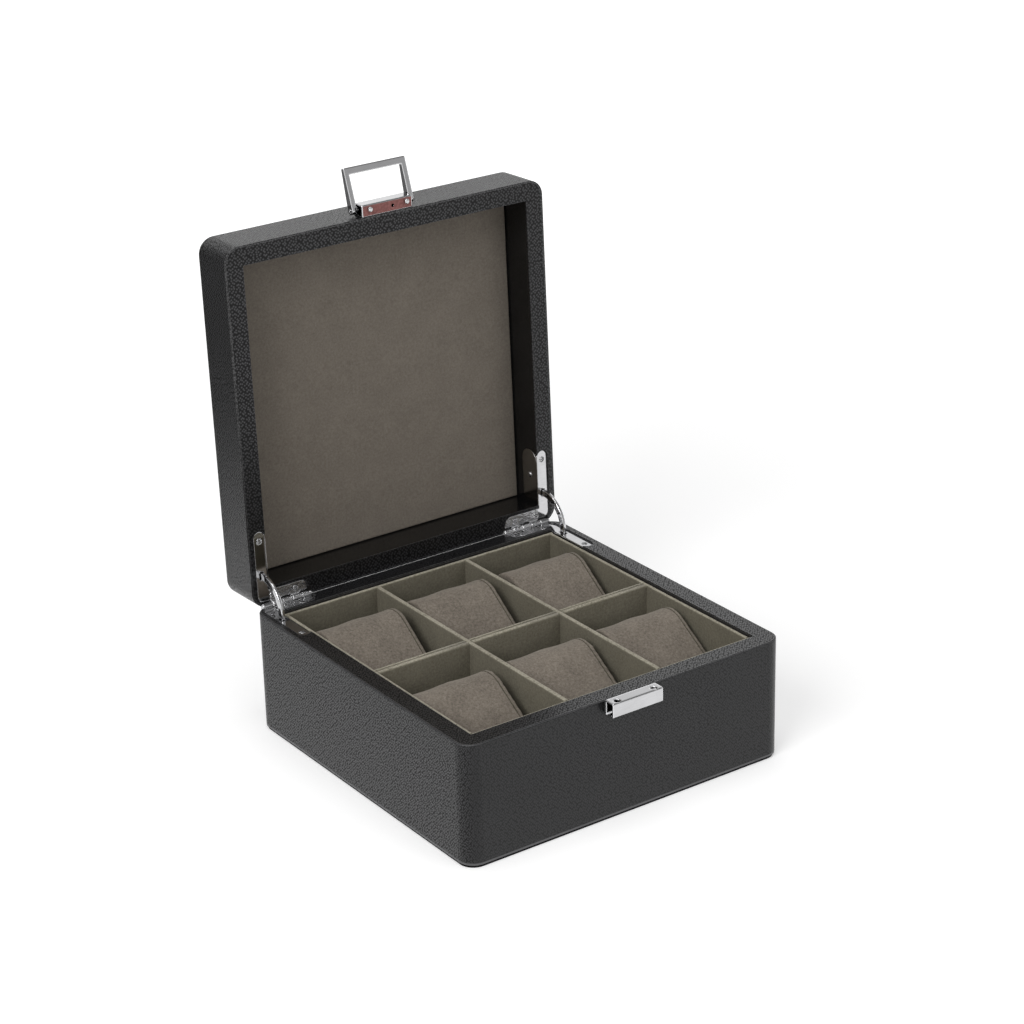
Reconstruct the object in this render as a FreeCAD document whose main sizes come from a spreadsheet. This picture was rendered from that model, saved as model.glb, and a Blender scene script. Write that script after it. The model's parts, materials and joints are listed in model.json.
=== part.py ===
import FreeCAD, Part
import math
import os
import re

import Sketcher
from FreeCAD import Placement, Rotation, Vector

# A leather-covered watch box: a base with a suede tray for six cushions, and a lid on two quadrant hinges.
# X runs along the front, Y to the back and Z up from the floor, in millimetres, with the origin under the
# middle of the base. Every piece is drawn with the box shut. The lid's pieces are then swung open about the
# hinge pins, as the box stands on show.

SIZES = {
    # Case, over the leather
    "box_width": 220,
    "box_depth": 220,
    "base_height": 75,
    "lid_height": 30.9,
    "rim_gap": 0.5,
    "wall": 11.9,
    "lid_wall": 11.9,
    "corner_radius": 10,
    "lid_edge_radius": 2.5,
    "rim_edge_radius": 0.8,
    # Sheets and boards
    "leather": 1.0,
    "foot_pad": 1.8,
    "foot_inset": 1.0,
    "floor_board": 6,
    "top_board": 5.2,
    "inner_lining": 0.8,
    "lining_panel": 2.0,
    "panel_gap": 0.3,
    # Tray
    "tray_gap": 1.0,
    "tray_wall": 2.4,
    "tray_floor": 2.5,
    "tray_drop": 1.4,
    "divider": 3.0,
    "divider_groove": 0.6,
    "lap_gap": 0.1,
    "suede_edge": 1.1,
    # Cushions
    "cushion_side_play": 4.3,
    "cushion_row_play": 15.3,
    "cushion_gap": 0.3,
    "cushion_draw": 2.0,
    "cushion_crest": 17,
    "cushion_nose": 12,
    "cushion_heel": 10,
    "front_row_drop": 2.4,
    "front_row_slope": 32,
    "back_row_drop": -1.4,
    "back_row_slope": 35,
    # Where each loose cushion was left in its cell: to the right of the middle, and to the front of it
    "front_left_aside": -3.0,
    "front_left_forward": 2.9,
    "front_middle_aside": -1.1,
    "front_middle_forward": 1.4,
    "front_right_aside": 0.7,
    "front_right_forward": -0.3,
    "back_left_aside": -3.9,
    "back_left_forward": 3.9,
    "back_middle_aside": -3.2,
    "back_middle_forward": 2.0,
    "back_right_aside": -1.4,
    "back_right_forward": 3.5,
    # Hinges
    "open_angle": 92,
    "hinge_offset": -0.4,
    "barrel_radius": 1.9,
    "barrel_inset": 6,
    "knuckle": 6.8,
    "knuckle_gap": 0.3,
    "pin_radius": 0.8,
    "running_gap": 0.05,
    "leaf": 1.2,
    "leaf_inset": 4.2,
    "side_wing": 7.7,
    "side_reach": 47.5,
    "back_wing": 9.8,
    "back_reach": 38,
    "leaf_corner": 4,
    "pocket_gap": 0.15,
    # Stays
    "stay_radius": 19,
    "stay_width": 4,
    "stay": 1.8,
    "stay_gap": 0.4,
    "stay_tip": 9,
    "stop_radius": 1.4,
    "stop_length": 4.6,
    "stop_gap": 0.3,
    # Screws
    "screw_radius": 0.9,
    "screw_head": 1.8,
    "screw_sink": 0.8,
    "screw_length": 7,
    "screw_slot": 0.6,
    "slot_depth": 0.45,
    "side_screw": 41.5,
    "corner_screw": 14,
    "end_screw": 30,
    "screw_line": 6,
    # Clasp
    "clasp_width": 34.4,
    "clasp_reach": 7.2,
    "clasp_height": 8.6,
    "clasp_lip": 4.6,
    "clasp_sheet": 0.9,
    "clasp_bend": 0.7,
    "clasp_screw": 7.5,
    "buffer": 0.4,
    "buffer_hole": 1.1,
    "buffer_hole_place": 3.7,
    "locating_spacing": 25.2,
    "locating_out": 4.6,
    "locating_radius": 1.5,
    "locating_length": 2.2,
    "locating_gap": 0.45,
    "locating_dome": 0.6,
    # Bail
    "bail_angle": 107,
    "pivot_rise": 7.0,
    "pivot_out": 3.6,
    "rod_radius": 1.0,
    "tube_wall": 0.8,
    "bail_gap": 0.8,
    "bail_leg": 3.1,
    "bail_eye": 2.5,
    "bail_tip": 2.5,
    "bail_inside": 20.4,
    "bail_bar": 4.3,
    "bail_round": 0.5,
}

# Places that several pieces share, as text for the expressions below
AXIS_Y = "(box_depth / 2 + hinge_offset)"
AXIS_Z = "(base_height + rim_gap / 2)"
LEAF_FACE = "(rim_gap / 2 + leather)"
FRONT = "(-box_depth / 2)"
LOCATING_Y = "(" + FRONT + " - locating_out)"
LID_RIM = "(base_height + rim_gap)"
LID_TOP = "(base_height + rim_gap + lid_height)"
CARCASS_TOP = "(base_height - leather)"
TRAY_FLOOR = "(foot_pad + floor_board + tray_floor)"
TRAY_TOP = "(base_height - tray_drop)"
TRAY_X = "(box_width / 2 - wall - tray_gap - tray_wall)"
TRAY_Y = "(box_depth / 2 - wall - tray_gap - tray_wall)"
CELL_WIDTH = "((2 * " + TRAY_X + " - 2 * divider) / 3)"
CELL_DEPTH = "(" + TRAY_Y + " - divider / 2)"
CUSHION_WIDTH = "(" + CELL_WIDTH + " - 2 * cushion_side_play)"
CUSHION_DEPTH = "(" + CELL_DEPTH + " - 2 * cushion_row_play)"
STAY_X = "(box_width / 2 - leaf_inset - side_wing / 2)"
STOP_ANGLE = "asin((" + LEAF_FACE + " + leaf + stop_gap + stop_radius) / stay_radius)"
STAY_TAIL = "(" + STOP_ANGLE + " + stay_tip * 1 deg)"
PIVOT_Y = "(" + FRONT + " - pivot_out)"
PIVOT_Z = "(" + LID_RIM + " + pivot_rise)"

SIDES = {"left": -1, "right": 1}
BASE = -1
LID = 1
KNUCKLES = 5
# How far past a face a cutting tool runs, so that it leaves no skin
OVERCUT = "2"
# How near two places count as one, in millimetres
SAME = 1e-6
# Share of the half width along a cushion, and share of the draw-in there
CUSHION_STATIONS = [(-1, 1), (-0.92, 0.4), (-0.7, 0.1), (0, 0), (0.7, 0.1), (0.92, 0.4), (1, 1)]
# Share of the side wing's width that rounds each corner of its end: all but a half circle
WING_ROUND = "0.49"

doc = FreeCAD.newDocument("watch_box")
sheet = doc.addObject("Spreadsheet::Sheet", "Sheet")
for row, (alias, number) in enumerate(SIZES.items(), start=1):
    sheet.set(f"A{row}", alias)
    sheet.set(f"B{row}", str(number))
    sheet.setAlias(f"B{row}", alias)
doc.recompute()

ALIASES = re.compile(r"\b(" + "|".join(sorted(SIZES, key=len, reverse=True)) + r")\b")
nodes = {}


def bound(text):
    """The text of an expression, with each size's name pointing at its cell."""
    return ALIASES.sub(r"Sheet.\1", str(text))


def value(text):
    """What an expression comes to now, as a plain number."""
    return float(FreeCAD.Units.Quantity(sheet.evalExpression(bound(text))).Value)


def bind(thing, expressions):
    """Tie properties of an object to expressions."""
    for name, text in expressions.items():
        thing.setExpression(name, bound(text))


def put(thing, x, y, z, turn=None):
    """Place an object by three expressions, after an optional fixed turn."""
    if turn:
        thing.Placement = Placement(Vector(), turn)
    bind(thing, {"Placement.Base.x": x, "Placement.Base.y": y, "Placement.Base.z": z})


def keep(label, thing):
    """Name an object as one of the finished sub-parts."""
    thing.Label = label
    nodes[label] = thing
    return thing


ALONG_X = Rotation(Vector(0, 1, 0), 90)
HEAD_DOWN = Rotation(Vector(1, 0, 0), 180)
HEAD_FRONT = Rotation(Vector(1, 0, 0), 90)


# Building blocks: each takes expressions, in the shut box's own frame

def block(name, low, span):
    solid = doc.addObject("Part::Box", name)
    bind(solid, dict(zip(("Length", "Width", "Height"), span)))
    put(solid, *low)
    return solid


def rod(name, start, radius, length, turn=None):
    solid = doc.addObject("Part::Cylinder", name)
    bind(solid, {"Radius": radius, "Height": length})
    put(solid, *start, turn)
    return solid


def new_body(name):
    return doc.addObject("PartDesign::Body", name)


def add_box(body, name, low, span, kind="Additive"):
    feature = body.newObject(f"PartDesign::{kind}Box", name)
    bind(feature, dict(zip(("Length", "Width", "Height"), span)))
    put(feature, *low)
    return feature


def add_rod(body, name, start, radius, length, turn=None, kind="Additive"):
    feature = body.newObject(f"PartDesign::{kind}Cylinder", name)
    bind(feature, {"Radius": radius, "Height": length})
    put(feature, *start, turn)
    return feature


def round_edges(body, name, radius, chosen):
    """Fillet the edges of a body's last feature whose middle and box satisfy a test."""
    doc.recompute()
    base = body.Tip
    edges = [f"Edge{n}" for n, edge in enumerate(base.Shape.Edges, start=1) if chosen(edge)]
    fillet = body.newObject("PartDesign::Fillet", name)
    fillet.Base = (base, edges)
    bind(fillet, {"Radius": radius})
    return fillet


def upright(edge):
    return edge.BoundBox.ZLength > max(edge.BoundBox.XLength, edge.BoundBox.YLength)


def at_height(height):
    """A test for the edges that lie level at a height."""
    level = value(height)
    return lambda edge: edge.BoundBox.ZLength < SAME and abs(edge.BoundBox.ZMax - level) < SAME


def polygon(body, name, role, corners):
    """A closed outline in one of the body's own planes, with every corner tied to two expressions."""
    outline = body.newObject("Sketcher::SketchObject", name)
    plane = next(item for item in body.Origin.OriginFeatures if item.Role == role)
    outline.AttachmentSupport = [(plane, "")]
    outline.MapMode = "FlatFace"
    points = [Vector(value(across), value(height), 0) for across, height in corners]
    for here, there in zip(points, points[1:] + points[:1]):
        outline.addGeometry(Part.LineSegment(here, there), False)
    for index, (point, texts) in enumerate(zip(points, corners)):
        outline.addConstraint(Sketcher.Constraint("Coincident", index, 2, (index + 1) % len(points), 1))
        for kind, number, text in (("DistanceX", point.x, texts[0]), ("DistanceY", point.y, texts[1])):
            rule = outline.addConstraint(Sketcher.Constraint(kind, index, 1, number))
            bind(outline, {f"Constraints[{rule}]": text})
    return outline


def carve(label, base, tools):
    """Cut tools from a piece, one after another, and keep the result under its label."""
    for number, tool in enumerate(tools, start=1):
        cut = doc.addObject("Part::Cut", f"{label}_cut_{number}")
        cut.Base = base
        cut.Tool = tool
        base = cut
    return keep(label, base)


def common(name, base, tool):
    shared = doc.addObject("Part::Common", name)
    shared.Base = base
    shared.Tool = tool
    return shared


def group(label, solids):
    """Several alike solids as one sub-part."""
    together = doc.addObject("Part::Compound", label)
    together.Links = solids
    return keep(label, together)


def rounded_block(name, margin, low, height, top_radius=None):
    """A block with the case's outline set in by a margin, round at its four corners."""
    body = new_body(name)
    half_x = f"(box_width / 2 - ({margin}))"
    half_y = f"(box_depth / 2 - ({margin}))"
    span = (f"2 * {half_x}", f"2 * {half_y}", height)
    add_box(body, f"{name}_block", (f"-{half_x}", f"-{half_y}", low), span)
    round_edges(body, f"{name}_corners", f"corner_radius - ({margin})", upright)
    if top_radius:
        round_edges(body, f"{name}_edge", top_radius, at_height(f"{low} + {height}"))
    return body


def side_low(side, inner, outer):
    """The low X of a span that lies between two distances from the middle, on either side."""
    return inner if side > 0 else f"-({outer})"


def deck_low(deck, near, thick):
    """The low Z of a layer that starts a distance from the hinge plane, below it or above it."""
    if deck == BASE:
        return f"{AXIS_Z} - ({near}) - ({thick})"
    return f"{AXIS_Z} + ({near})"


# Case

def mitred_board(name, long_half, deep_half, thick_wall, low, height, turn):
    """One wall board, mitred at both ends; the wedge is drawn as the front wall and turned to its side."""
    wedge = doc.addObject("Part::Wedge", name)
    bind(wedge, {
        "Ymin": f"-({deep_half} - leather)",
        "Ymax": f"-({deep_half} - {thick_wall})",
        "Xmin": f"-({long_half} - leather)",
        "Xmax": f"{long_half} - leather",
        "X2min": f"-({long_half} - {thick_wall})",
        "X2max": f"{long_half} - {thick_wall}",
        "Zmin": low,
        "Z2min": low,
        "Zmax": f"{low} + {height}",
        "Z2max": f"{low} + {height}",
    })
    wedge.Placement = Placement(Vector(), Rotation(Vector(0, 0, 1), turn))
    return wedge


def case_boards(prefix, thick_wall, low, height, core, tools):
    """The four wall boards of the base or the lid, rounded to the case's corners and cut for the hinges."""
    walls = {"front": 0, "right": 90, "back": 180, "left": 270}
    for wall_name, turn in walls.items():
        halves = ["box_width / 2", "box_depth / 2"]
        if turn % 180:
            halves.reverse()
        label = f"{prefix}_{wall_name}_board"
        wedge = mitred_board(f"{label}_wedge", *halves, thick_wall, low, height, turn)
        carve(label, common(f"{label}_blank", wedge, core), tools[wall_name])


def rim_ring(label, low, thick_wall, core, tools):
    """The flat leather strip on a rim, notched for the hinge leaves."""
    slab_low = ("-box_width / 2", "-box_depth / 2", low)
    slab = block(f"{label}_slab", slab_low, ("box_width", "box_depth", "leather"))
    mouth_low = (f"-(box_width / 2 - {thick_wall})", f"-(box_depth / 2 - {thick_wall})", f"{low} - {OVERCUT}")
    mouth_height = f"leather + 2 * {OVERCUT}"
    mouth_span = (f"box_width - 2 * {thick_wall}", f"box_depth - 2 * {thick_wall}", mouth_height)
    mouth = block(f"{label}_mouth", mouth_low, mouth_span)
    return carve(label, common(f"{label}_sheet", slab, core), [mouth] + tools)


def build_base(tools):
    board_low = "foot_pad"
    board_height = f"({CARCASS_TOP} - foot_pad)"
    core = rounded_block("base_core", "leather", f"-{OVERCUT}", f"base_height + 2 * {OVERCUT}")
    case_boards("base", "wall", board_low, board_height, core, tools)
    hinge_cuts = tools["left"][:1] + tools["right"][:1]
    rim_ring("base_rim_leather", CARCASS_TOP, "wall", core, hinge_cuts)
    skin = rounded_block("base_skin", "0", "foot_pad", "(base_height - foot_pad)", "rim_edge_radius")
    carve("base_side_leather", skin, [core] + hinge_cuts + tools["front"])
    keep("base_bottom_pad", rounded_block("base_pad", "foot_inset", "0", "foot_pad"))
    floor_low = ("-(box_width / 2 - wall)", "-(box_depth / 2 - wall)", "foot_pad")
    floor_span = ("box_width - 2 * wall", "box_depth - 2 * wall", "floor_board")
    keep("base_floor_board", block("base_floor", floor_low, floor_span))


def build_lid(tools):
    board_low = f"({LID_RIM} + leather)"
    under_top = f"({LID_TOP} - leather - top_board)"
    board_height = f"({under_top} - {board_low})"
    board_wall = "(lid_wall - inner_lining)"
    core_low = f"({LID_RIM} - {OVERCUT})"
    core = rounded_block("lid_core", "leather", core_low, f"({LID_TOP} - leather - {core_low})")
    case_boards("lid", board_wall, board_low, board_height, core, tools)
    hinge_cuts = tools["left"][:1] + tools["right"][:1]
    rim_ring("lid_rim_leather", LID_RIM, "lid_wall", core, hinge_cuts)
    skin = rounded_block("lid_skin", "0", LID_RIM, "lid_height", "lid_edge_radius")
    carve("lid_cover_leather", skin, [core] + hinge_cuts + tools["front"])
    slab_low = ("-box_width / 2", "-box_depth / 2", under_top)
    slab = block("lid_top_slab", slab_low, ("box_width", "box_depth", "top_board"))
    keep("lid_top_board", common("lid_top", slab, core))
    lining_low = (f"-(box_width / 2 - {board_wall})", f"-(box_depth / 2 - {board_wall})", board_low)
    lining_span = (f"box_width - 2 * {board_wall}", f"box_depth - 2 * {board_wall}", board_height)
    hollow_low = ("-(box_width / 2 - lid_wall)", "-(box_depth / 2 - lid_wall)", f"{board_low} - {OVERCUT}")
    hollow_span = ("box_width - 2 * lid_wall", "box_depth - 2 * lid_wall", f"{board_height} + 2 * {OVERCUT}")
    lining = block("lid_lining_block", lining_low, lining_span)
    carve("lid_inner_lining", lining, [block("lid_hollow", hollow_low, hollow_span)] + hinge_cuts)
    panel = new_body("lining")
    half_x = "(box_width / 2 - lid_wall - panel_gap)"
    half_y = "(box_depth / 2 - lid_wall - panel_gap)"
    panel_low = (f"-{half_x}", f"-{half_y}", f"{under_top} - lining_panel")
    add_box(panel, "lining_block", panel_low, (f"2 * {half_x}", f"2 * {half_y}", "lining_panel"))
    round_edges(panel, "lining_edge", "suede_edge", at_height(panel_low[2]))
    keep("lid_lining_panel", panel)


# Tray and cushions

def suede_wall(label, low, span):
    """A suede-covered card that stands on the tray's floor, round along its top edges."""
    body = new_body(f"{label}_body")
    add_box(body, f"{label}_card", low, span)
    length_axis = "XLength" if value(span[0]) > value(span[1]) else "YLength"
    level = value(f"{low[2]} + {span[2]}")

    def long_top_edge(edge):
        box = edge.BoundBox
        return abs(box.ZMin - level) < SAME and getattr(box, length_axis) > 2 * value("tray_wall + divider")

    round_edges(body, f"{label}_top", "suede_edge", long_top_edge)
    return keep(label, body)


def build_tray():
    height = f"({TRAY_TOP} - {TRAY_FLOOR})"
    outer_x = f"({TRAY_X} + tray_wall)"
    outer_y = f"({TRAY_Y} + tray_wall)"
    floor_low = (f"-{outer_x}", f"-{outer_y}", "foot_pad + floor_board")
    floor_span = (f"2 * {outer_x}", f"2 * {outer_y}", "tray_floor")
    keep("tray_floor_card", block("tray_floor", floor_low, floor_span))
    for name, low_y in (("front", f"-{outer_y}"), ("back", TRAY_Y)):
        span = (f"2 * {outer_x}", "tray_wall", height)
        suede_wall(f"tray_{name}_wall", (f"-{outer_x}", low_y, TRAY_FLOOR), span)
    for name, low_x in (("left", f"-{outer_x}"), ("right", TRAY_X)):
        span = ("tray_wall", f"2 * {TRAY_Y}", height)
        suede_wall(f"tray_{name}_wall", (low_x, f"-{TRAY_Y}", TRAY_FLOOR), span)

    half_height = f"({height} / 2)"
    lap = "(divider + 2 * lap_gap)"
    cross_places = {name: f"({side} * ({CELL_WIDTH} + divider) / 2)" for name, side in SIDES.items()}
    long_low = (f"-{TRAY_X}", "-divider / 2", TRAY_FLOOR)
    long_card = suede_wall("tray_long_divider", long_low, (f"2 * {TRAY_X}", "divider", height))
    groove_low = (f"-{TRAY_X}", "-divider_groove / 2", f"{TRAY_TOP} - divider_groove")
    add_box(long_card, "long_groove", groove_low, (f"2 * {TRAY_X}", "divider_groove", OVERCUT), "Subtractive")
    for name, place in cross_places.items():
        slot_low = (f"{place} - {lap} / 2", "-divider", f"{TRAY_FLOOR} + {half_height}")
        add_box(long_card, f"long_{name}_lap", slot_low, (lap, "2 * divider", height), "Subtractive")
        cross_low = (f"{place} - divider / 2", f"-{TRAY_Y}", TRAY_FLOOR)
        card = suede_wall(f"tray_{name}_divider", cross_low, ("divider", f"2 * {TRAY_Y}", height))
        lap_low = (f"{place} - divider", f"-{lap} / 2", f"{TRAY_FLOOR} - {OVERCUT}")
        lap_span = ("2 * divider", lap, f"{half_height} + {OVERCUT}")
        add_box(card, f"{name}_lap", lap_low, lap_span, "Subtractive")


def cushion_section(x, inset, height, slope):
    """The cushion's side outline at one place along it, drawn in by an inset: lines and tangent arcs."""
    half = value(CUSHION_DEPTH) / 2
    crest, nose, heel = (value(name) for name in ("cushion_crest", "cushion_nose", "cushion_heel"))
    lean = math.radians(90 + slope)
    face = Vector(0, math.cos(lean), math.sin(lean))
    crest_middle = Vector(x, half - crest, height - crest)
    nose_y = nose - half
    reach = crest_middle.y * face.y + crest_middle.z * face.z + crest - nose
    nose_middle = Vector(x, nose_y, (reach - nose_y * face.y) / face.z)
    corners = [
        (Vector(x, half - heel, heel), heel, -90, 0),
        (crest_middle, crest, 0, 90 + slope),
        (nose_middle, nose, 90 + slope, 180),
        (Vector(x, heel - half, heel), heel, 180, 270),
    ]

    def on_arc(middle, radius, angle):
        turn = math.radians(angle)
        return middle + Vector(0, math.cos(turn), math.sin(turn)) * (radius - inset)

    edges = []
    for (middle, radius, start, end), following in zip(corners, corners[1:] + corners[:1]):
        stations = [on_arc(middle, radius, angle) for angle in (start, (start + end) / 2, end)]
        next_start = on_arc(*following[:3])
        edges.append(Part.Arc(*stations).toShape())
        edges.append(Part.LineSegment(stations[2], next_start).toShape())
    return Part.Wire(edges)


def build_cushion(label, row, middle_x, middle_y):
    """A stuffed suede cushion: full in the middle, drawn in at its two ends."""
    half = value(CUSHION_WIDTH) / 2
    draw = value("cushion_draw")
    height = value(f"{TRAY_TOP} - {TRAY_FLOOR} - cushion_gap - {row}_row_drop")
    slope = value(f"{row}_row_slope")
    sections = [cushion_section(half * along, draw * share, height, slope) for along, share in CUSHION_STATIONS]
    cushion = doc.addObject("Part::Feature", label)
    cushion.Shape = Part.makeLoft(sections, True)
    put(cushion, middle_x, middle_y, f"{TRAY_FLOOR} + cushion_gap")
    keep(label, cushion)


def build_cushions():
    """Six cushions, each loose in a cell of its own."""
    pitch = f"({CELL_WIDTH} + divider)"
    row_reach = f"(({TRAY_Y} + divider / 2) / 2)"
    for row, row_side in (("front", -1), ("back", 1)):
        for column, column_side in (("left", -1), ("middle", 0), ("right", 1)):
            cell = f"{row}_{column}"
            middle_x = f"{column_side} * {pitch} + {cell}_aside"
            middle_y = f"{row_side} * {row_reach} - {cell}_forward"
            build_cushion(f"{cell}_cushion", row, middle_x, middle_y)


# Hinges

def screw(name, place, turn=None):
    """A countersunk screw with the middle of its head's face at a place, head up unless turned.

    Returns the screw with its slot, and the plain form that cuts its hole.
    """
    head = doc.addObject("Part::Cone", f"{name}_head")
    bind(head, {"Radius1": "screw_radius", "Radius2": "screw_head", "Height": "screw_sink"})
    put(head, "0", "0", "-screw_sink")
    shank = rod(f"{name}_shank", ("0", "0", "-screw_length"), "screw_radius", "screw_length - screw_sink")
    blank = doc.addObject("Part::MultiFuse", f"{name}_blank")
    blank.Shapes = [head, shank]
    slot_low = ("-screw_head", "-screw_slot / 2", "-slot_depth")
    slot = block(f"{name}_slot", slot_low, ("2 * screw_head", "screw_slot", f"slot_depth + {OVERCUT}"))
    finished = doc.addObject("Part::Cut", name)
    finished.Base = blank
    finished.Tool = slot
    hole = doc.addObject("Part::Compound", f"{name}_hole")
    hole.Links = [blank]
    for thing in (finished, hole):
        put(thing, *place, turn)
    return finished, hole


def screw_row(prefix, places, turn=None):
    """Screws at several places, and the forms that cut their holes."""
    pairs = [screw(f"{prefix}_screw_{n}", place, turn) for n, place in enumerate(places, start=1)]
    screws, holes = zip(*pairs)
    return list(screws), list(holes)


def leaf_plate(name, side, deck, near, thick, grow):
    """The L of a hinge leaf, a wing on the side rim and one on the back rim, grown all round by a gap."""
    plate = new_body(name)
    low_z = deck_low(deck, near, thick)
    back_edge = f"({AXIS_Y} - barrel_radius - knuckle_gap + {grow})"
    outer = f"(box_width / 2 - leaf_inset + {grow})"
    side_inner = f"(box_width / 2 - leaf_inset - side_wing - {grow})"
    side_front = f"(box_depth / 2 - side_reach - {grow})"
    add_box(plate, f"{name}_side", (side_low(side, side_inner, outer), side_front, low_z),
            (f"{outer} - {side_inner}", f"{back_edge} - {side_front}", thick))
    back_inner = f"(box_width / 2 - back_reach - {grow})"
    back_front = f"(box_depth / 2 - back_wing - {grow})"
    add_box(plate, f"{name}_back", (side_low(side, back_inner, outer), back_front, low_z),
            (f"{outer} - {back_inner}", f"{back_edge} - {back_front}", thick))
    front_y, back_y = value(side_front), value(back_edge)
    inner_x, outer_x = value(back_inner), value(outer)

    def side_end(edge):
        return upright(edge) and abs(edge.BoundBox.YMin - front_y) < SAME

    def back_end(edge):
        box = edge.BoundBox
        return upright(edge) and abs(abs(box.XMin) - inner_x) < SAME and box.YMin < back_y - SAME

    def outer_corner(edge):
        box = edge.BoundBox
        return upright(edge) and abs(abs(box.XMin) - outer_x) < SAME and abs(box.YMin - back_y) < SAME

    round_edges(plate, f"{name}_side_end", f"{WING_ROUND} * (side_wing + 2 * {grow})", side_end)
    round_edges(plate, f"{name}_back_end", f"leaf_corner + {grow}", back_end)
    round_edges(plate, f"{name}_corner", f"leaf_corner + {grow}", outer_corner)
    return plate


def hinge_pocket(name, side, deck):
    """The room cut for a leaf and its barrel, from the leaf's bed to the hinge plane."""
    pocket = leaf_plate(name, side, deck, "0", f"({LEAF_FACE} + leaf)", "pocket_gap")
    outer = "(box_width / 2 - barrel_inset + knuckle_gap)"
    inner = f"({outer} - {KNUCKLES} * knuckle - 2 * knuckle_gap)"
    low_y = "(box_depth / 2 - back_wing / 2)"
    relief_low = (side_low(side, inner, outer), low_y, deck_low(deck, "0", f"({LEAF_FACE} + leaf)"))
    relief_span = (f"{outer} - {inner}", f"{AXIS_Y} + barrel_radius - {low_y}", f"{LEAF_FACE} + leaf")
    add_box(pocket, f"{name}_relief", relief_low, relief_span)
    return pocket


def stay_ring(name, side, radial_gap, width, turn, sweep):
    """A curved bar about the hinge axis: a rectangle swept up from an angle counted from the back."""
    ring = new_body(name)
    half = f"(({width}) / 2)"
    near = f"(stay_radius - stay_width / 2 - ({radial_gap}))"
    far = f"(stay_radius + stay_width / 2 + ({radial_gap}))"
    corners = [(f"-{half}", near), (half, near), (half, far), (f"-{half}", far)]
    section = polygon(ring, f"{name}_section", "XY_Plane", corners)
    bar = ring.newObject("PartDesign::Revolution", f"{name}_sweep")
    bar.Profile = section
    bar.ReferenceAxis = (section, ["H_Axis"])
    bind(bar, {"Angle": sweep})
    ring.Placement = Placement(Vector(), Rotation(Vector(1, 0, 0), value(turn)))
    put(ring, f"{side} * {STAY_X}", AXIS_Y, AXIS_Z)
    bind(ring, {"Placement.Rotation.Angle": turn})
    return ring


def stay_mortise(name, side, deck):
    """The slot in a wall that a stay slides into as the lid shuts, half the lid's swing deep."""
    depth = f"(open_angle * 0.5 deg + {STAY_TAIL} + stay_tip * 1 deg)"
    start = "180 deg" if deck == BASE else f"180 deg - {depth}"
    return stay_ring(name, side, "stay_gap", "stop_length + 2 * stay_gap", start, depth)


def leaf_screws(prefix, side, deck):
    """The three screws of one leaf: one in the side wing, two in the back wing."""
    face = f"{AXIS_Z} + {deck} * {LEAF_FACE}"
    turn = HEAD_DOWN if deck == LID else None
    back_line = "box_depth / 2 - screw_line"
    places = [
        (f"{side} * {STAY_X}", "box_depth / 2 - side_screw", face),
        (f"{side} * (box_width / 2 - corner_screw)", back_line, face),
        (f"{side} * (box_width / 2 - end_screw)", back_line, face),
    ]
    return screw_row(prefix, places, turn)


def hinge_leaf(label, side, deck, holes):
    """A hinge leaf: the L plate, its knuckles round the pin, the slot for the stay and the screw holes."""
    leaf = leaf_plate(f"{label}_plate", side, deck, LEAF_FACE, "leaf", "0")
    # The base has the end and middle knuckles, the lid those between
    first = 0 if deck == BASE else 1
    bore = "pin_radius" if deck == BASE else "pin_radius + running_gap"
    outer = "(box_width / 2 - barrel_inset)"
    for index in range(first, KNUCKLES, 2):
        far = f"({outer} - {index} * knuckle)"
        near = f"({far} - knuckle + knuckle_gap)"
        low_x = side_low(side, near, far)
        length = f"{far} - {near}"
        neck_low = (low_x, "box_depth / 2 - back_wing / 2", deck_low(deck, LEAF_FACE, "leaf"))
        neck_span = (length, f"{AXIS_Y} - box_depth / 2 + back_wing / 2", "leaf")
        add_box(leaf, f"{label}_neck_{index}", neck_low, neck_span)
        add_rod(leaf, f"{label}_knuckle_{index}", (low_x, AXIS_Y, AXIS_Z), "barrel_radius", length, ALONG_X)
    bore_low = side_low(side, f"{outer} - {KNUCKLES} * knuckle - {OVERCUT}", f"{outer} + {OVERCUT}")
    bore_length = f"{KNUCKLES} * knuckle + 2 * {OVERCUT}"
    add_rod(leaf, f"{label}_bore", (bore_low, AXIS_Y, AXIS_Z), bore, bore_length, ALONG_X, "Subtractive")
    slot_wide = "(stay + 2 * stay_gap)"
    slot_long = "(stay_width + 2 * stay_gap)"
    slot_low = (f"{side} * {STAY_X} - {slot_wide} / 2", f"{AXIS_Y} - stay_radius - {slot_long} / 2",
                deck_low(deck, f"{LEAF_FACE} - {OVERCUT}", f"leaf + 2 * {OVERCUT}"))
    add_box(leaf, f"{label}_slot", slot_low, (slot_wide, slot_long, f"leaf + 2 * {OVERCUT}"), "Subtractive")
    return carve(label, leaf, holes)


def build_stay(name, side):
    """A stay and the two stop pins through its ends, as the open lid leaves them."""
    start = f"(180 deg - open_angle * 1 deg - {STAY_TAIL})"
    bar = stay_ring(f"{name}_stay_bar", side, "0", "stay", start, f"open_angle * 1 deg + 2 * {STAY_TAIL}")
    pins = []
    stop_angles = {
        "base": f"(180 deg + {STOP_ANGLE})",
        "lid": f"(180 deg - open_angle * 1 deg - {STOP_ANGLE})",
    }
    for end, angle in stop_angles.items():
        place = (f"{side} * {STAY_X} - stop_length / 2", f"{AXIS_Y} + stay_radius * cos({angle})",
                 f"{AXIS_Z} + stay_radius * sin({angle})")
        pins.append(rod(f"{name}_{end}_stop", place, "stop_radius", "stop_length", ALONG_X))
    carve(f"{name}_stay", bar, pins)
    return pins


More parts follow.
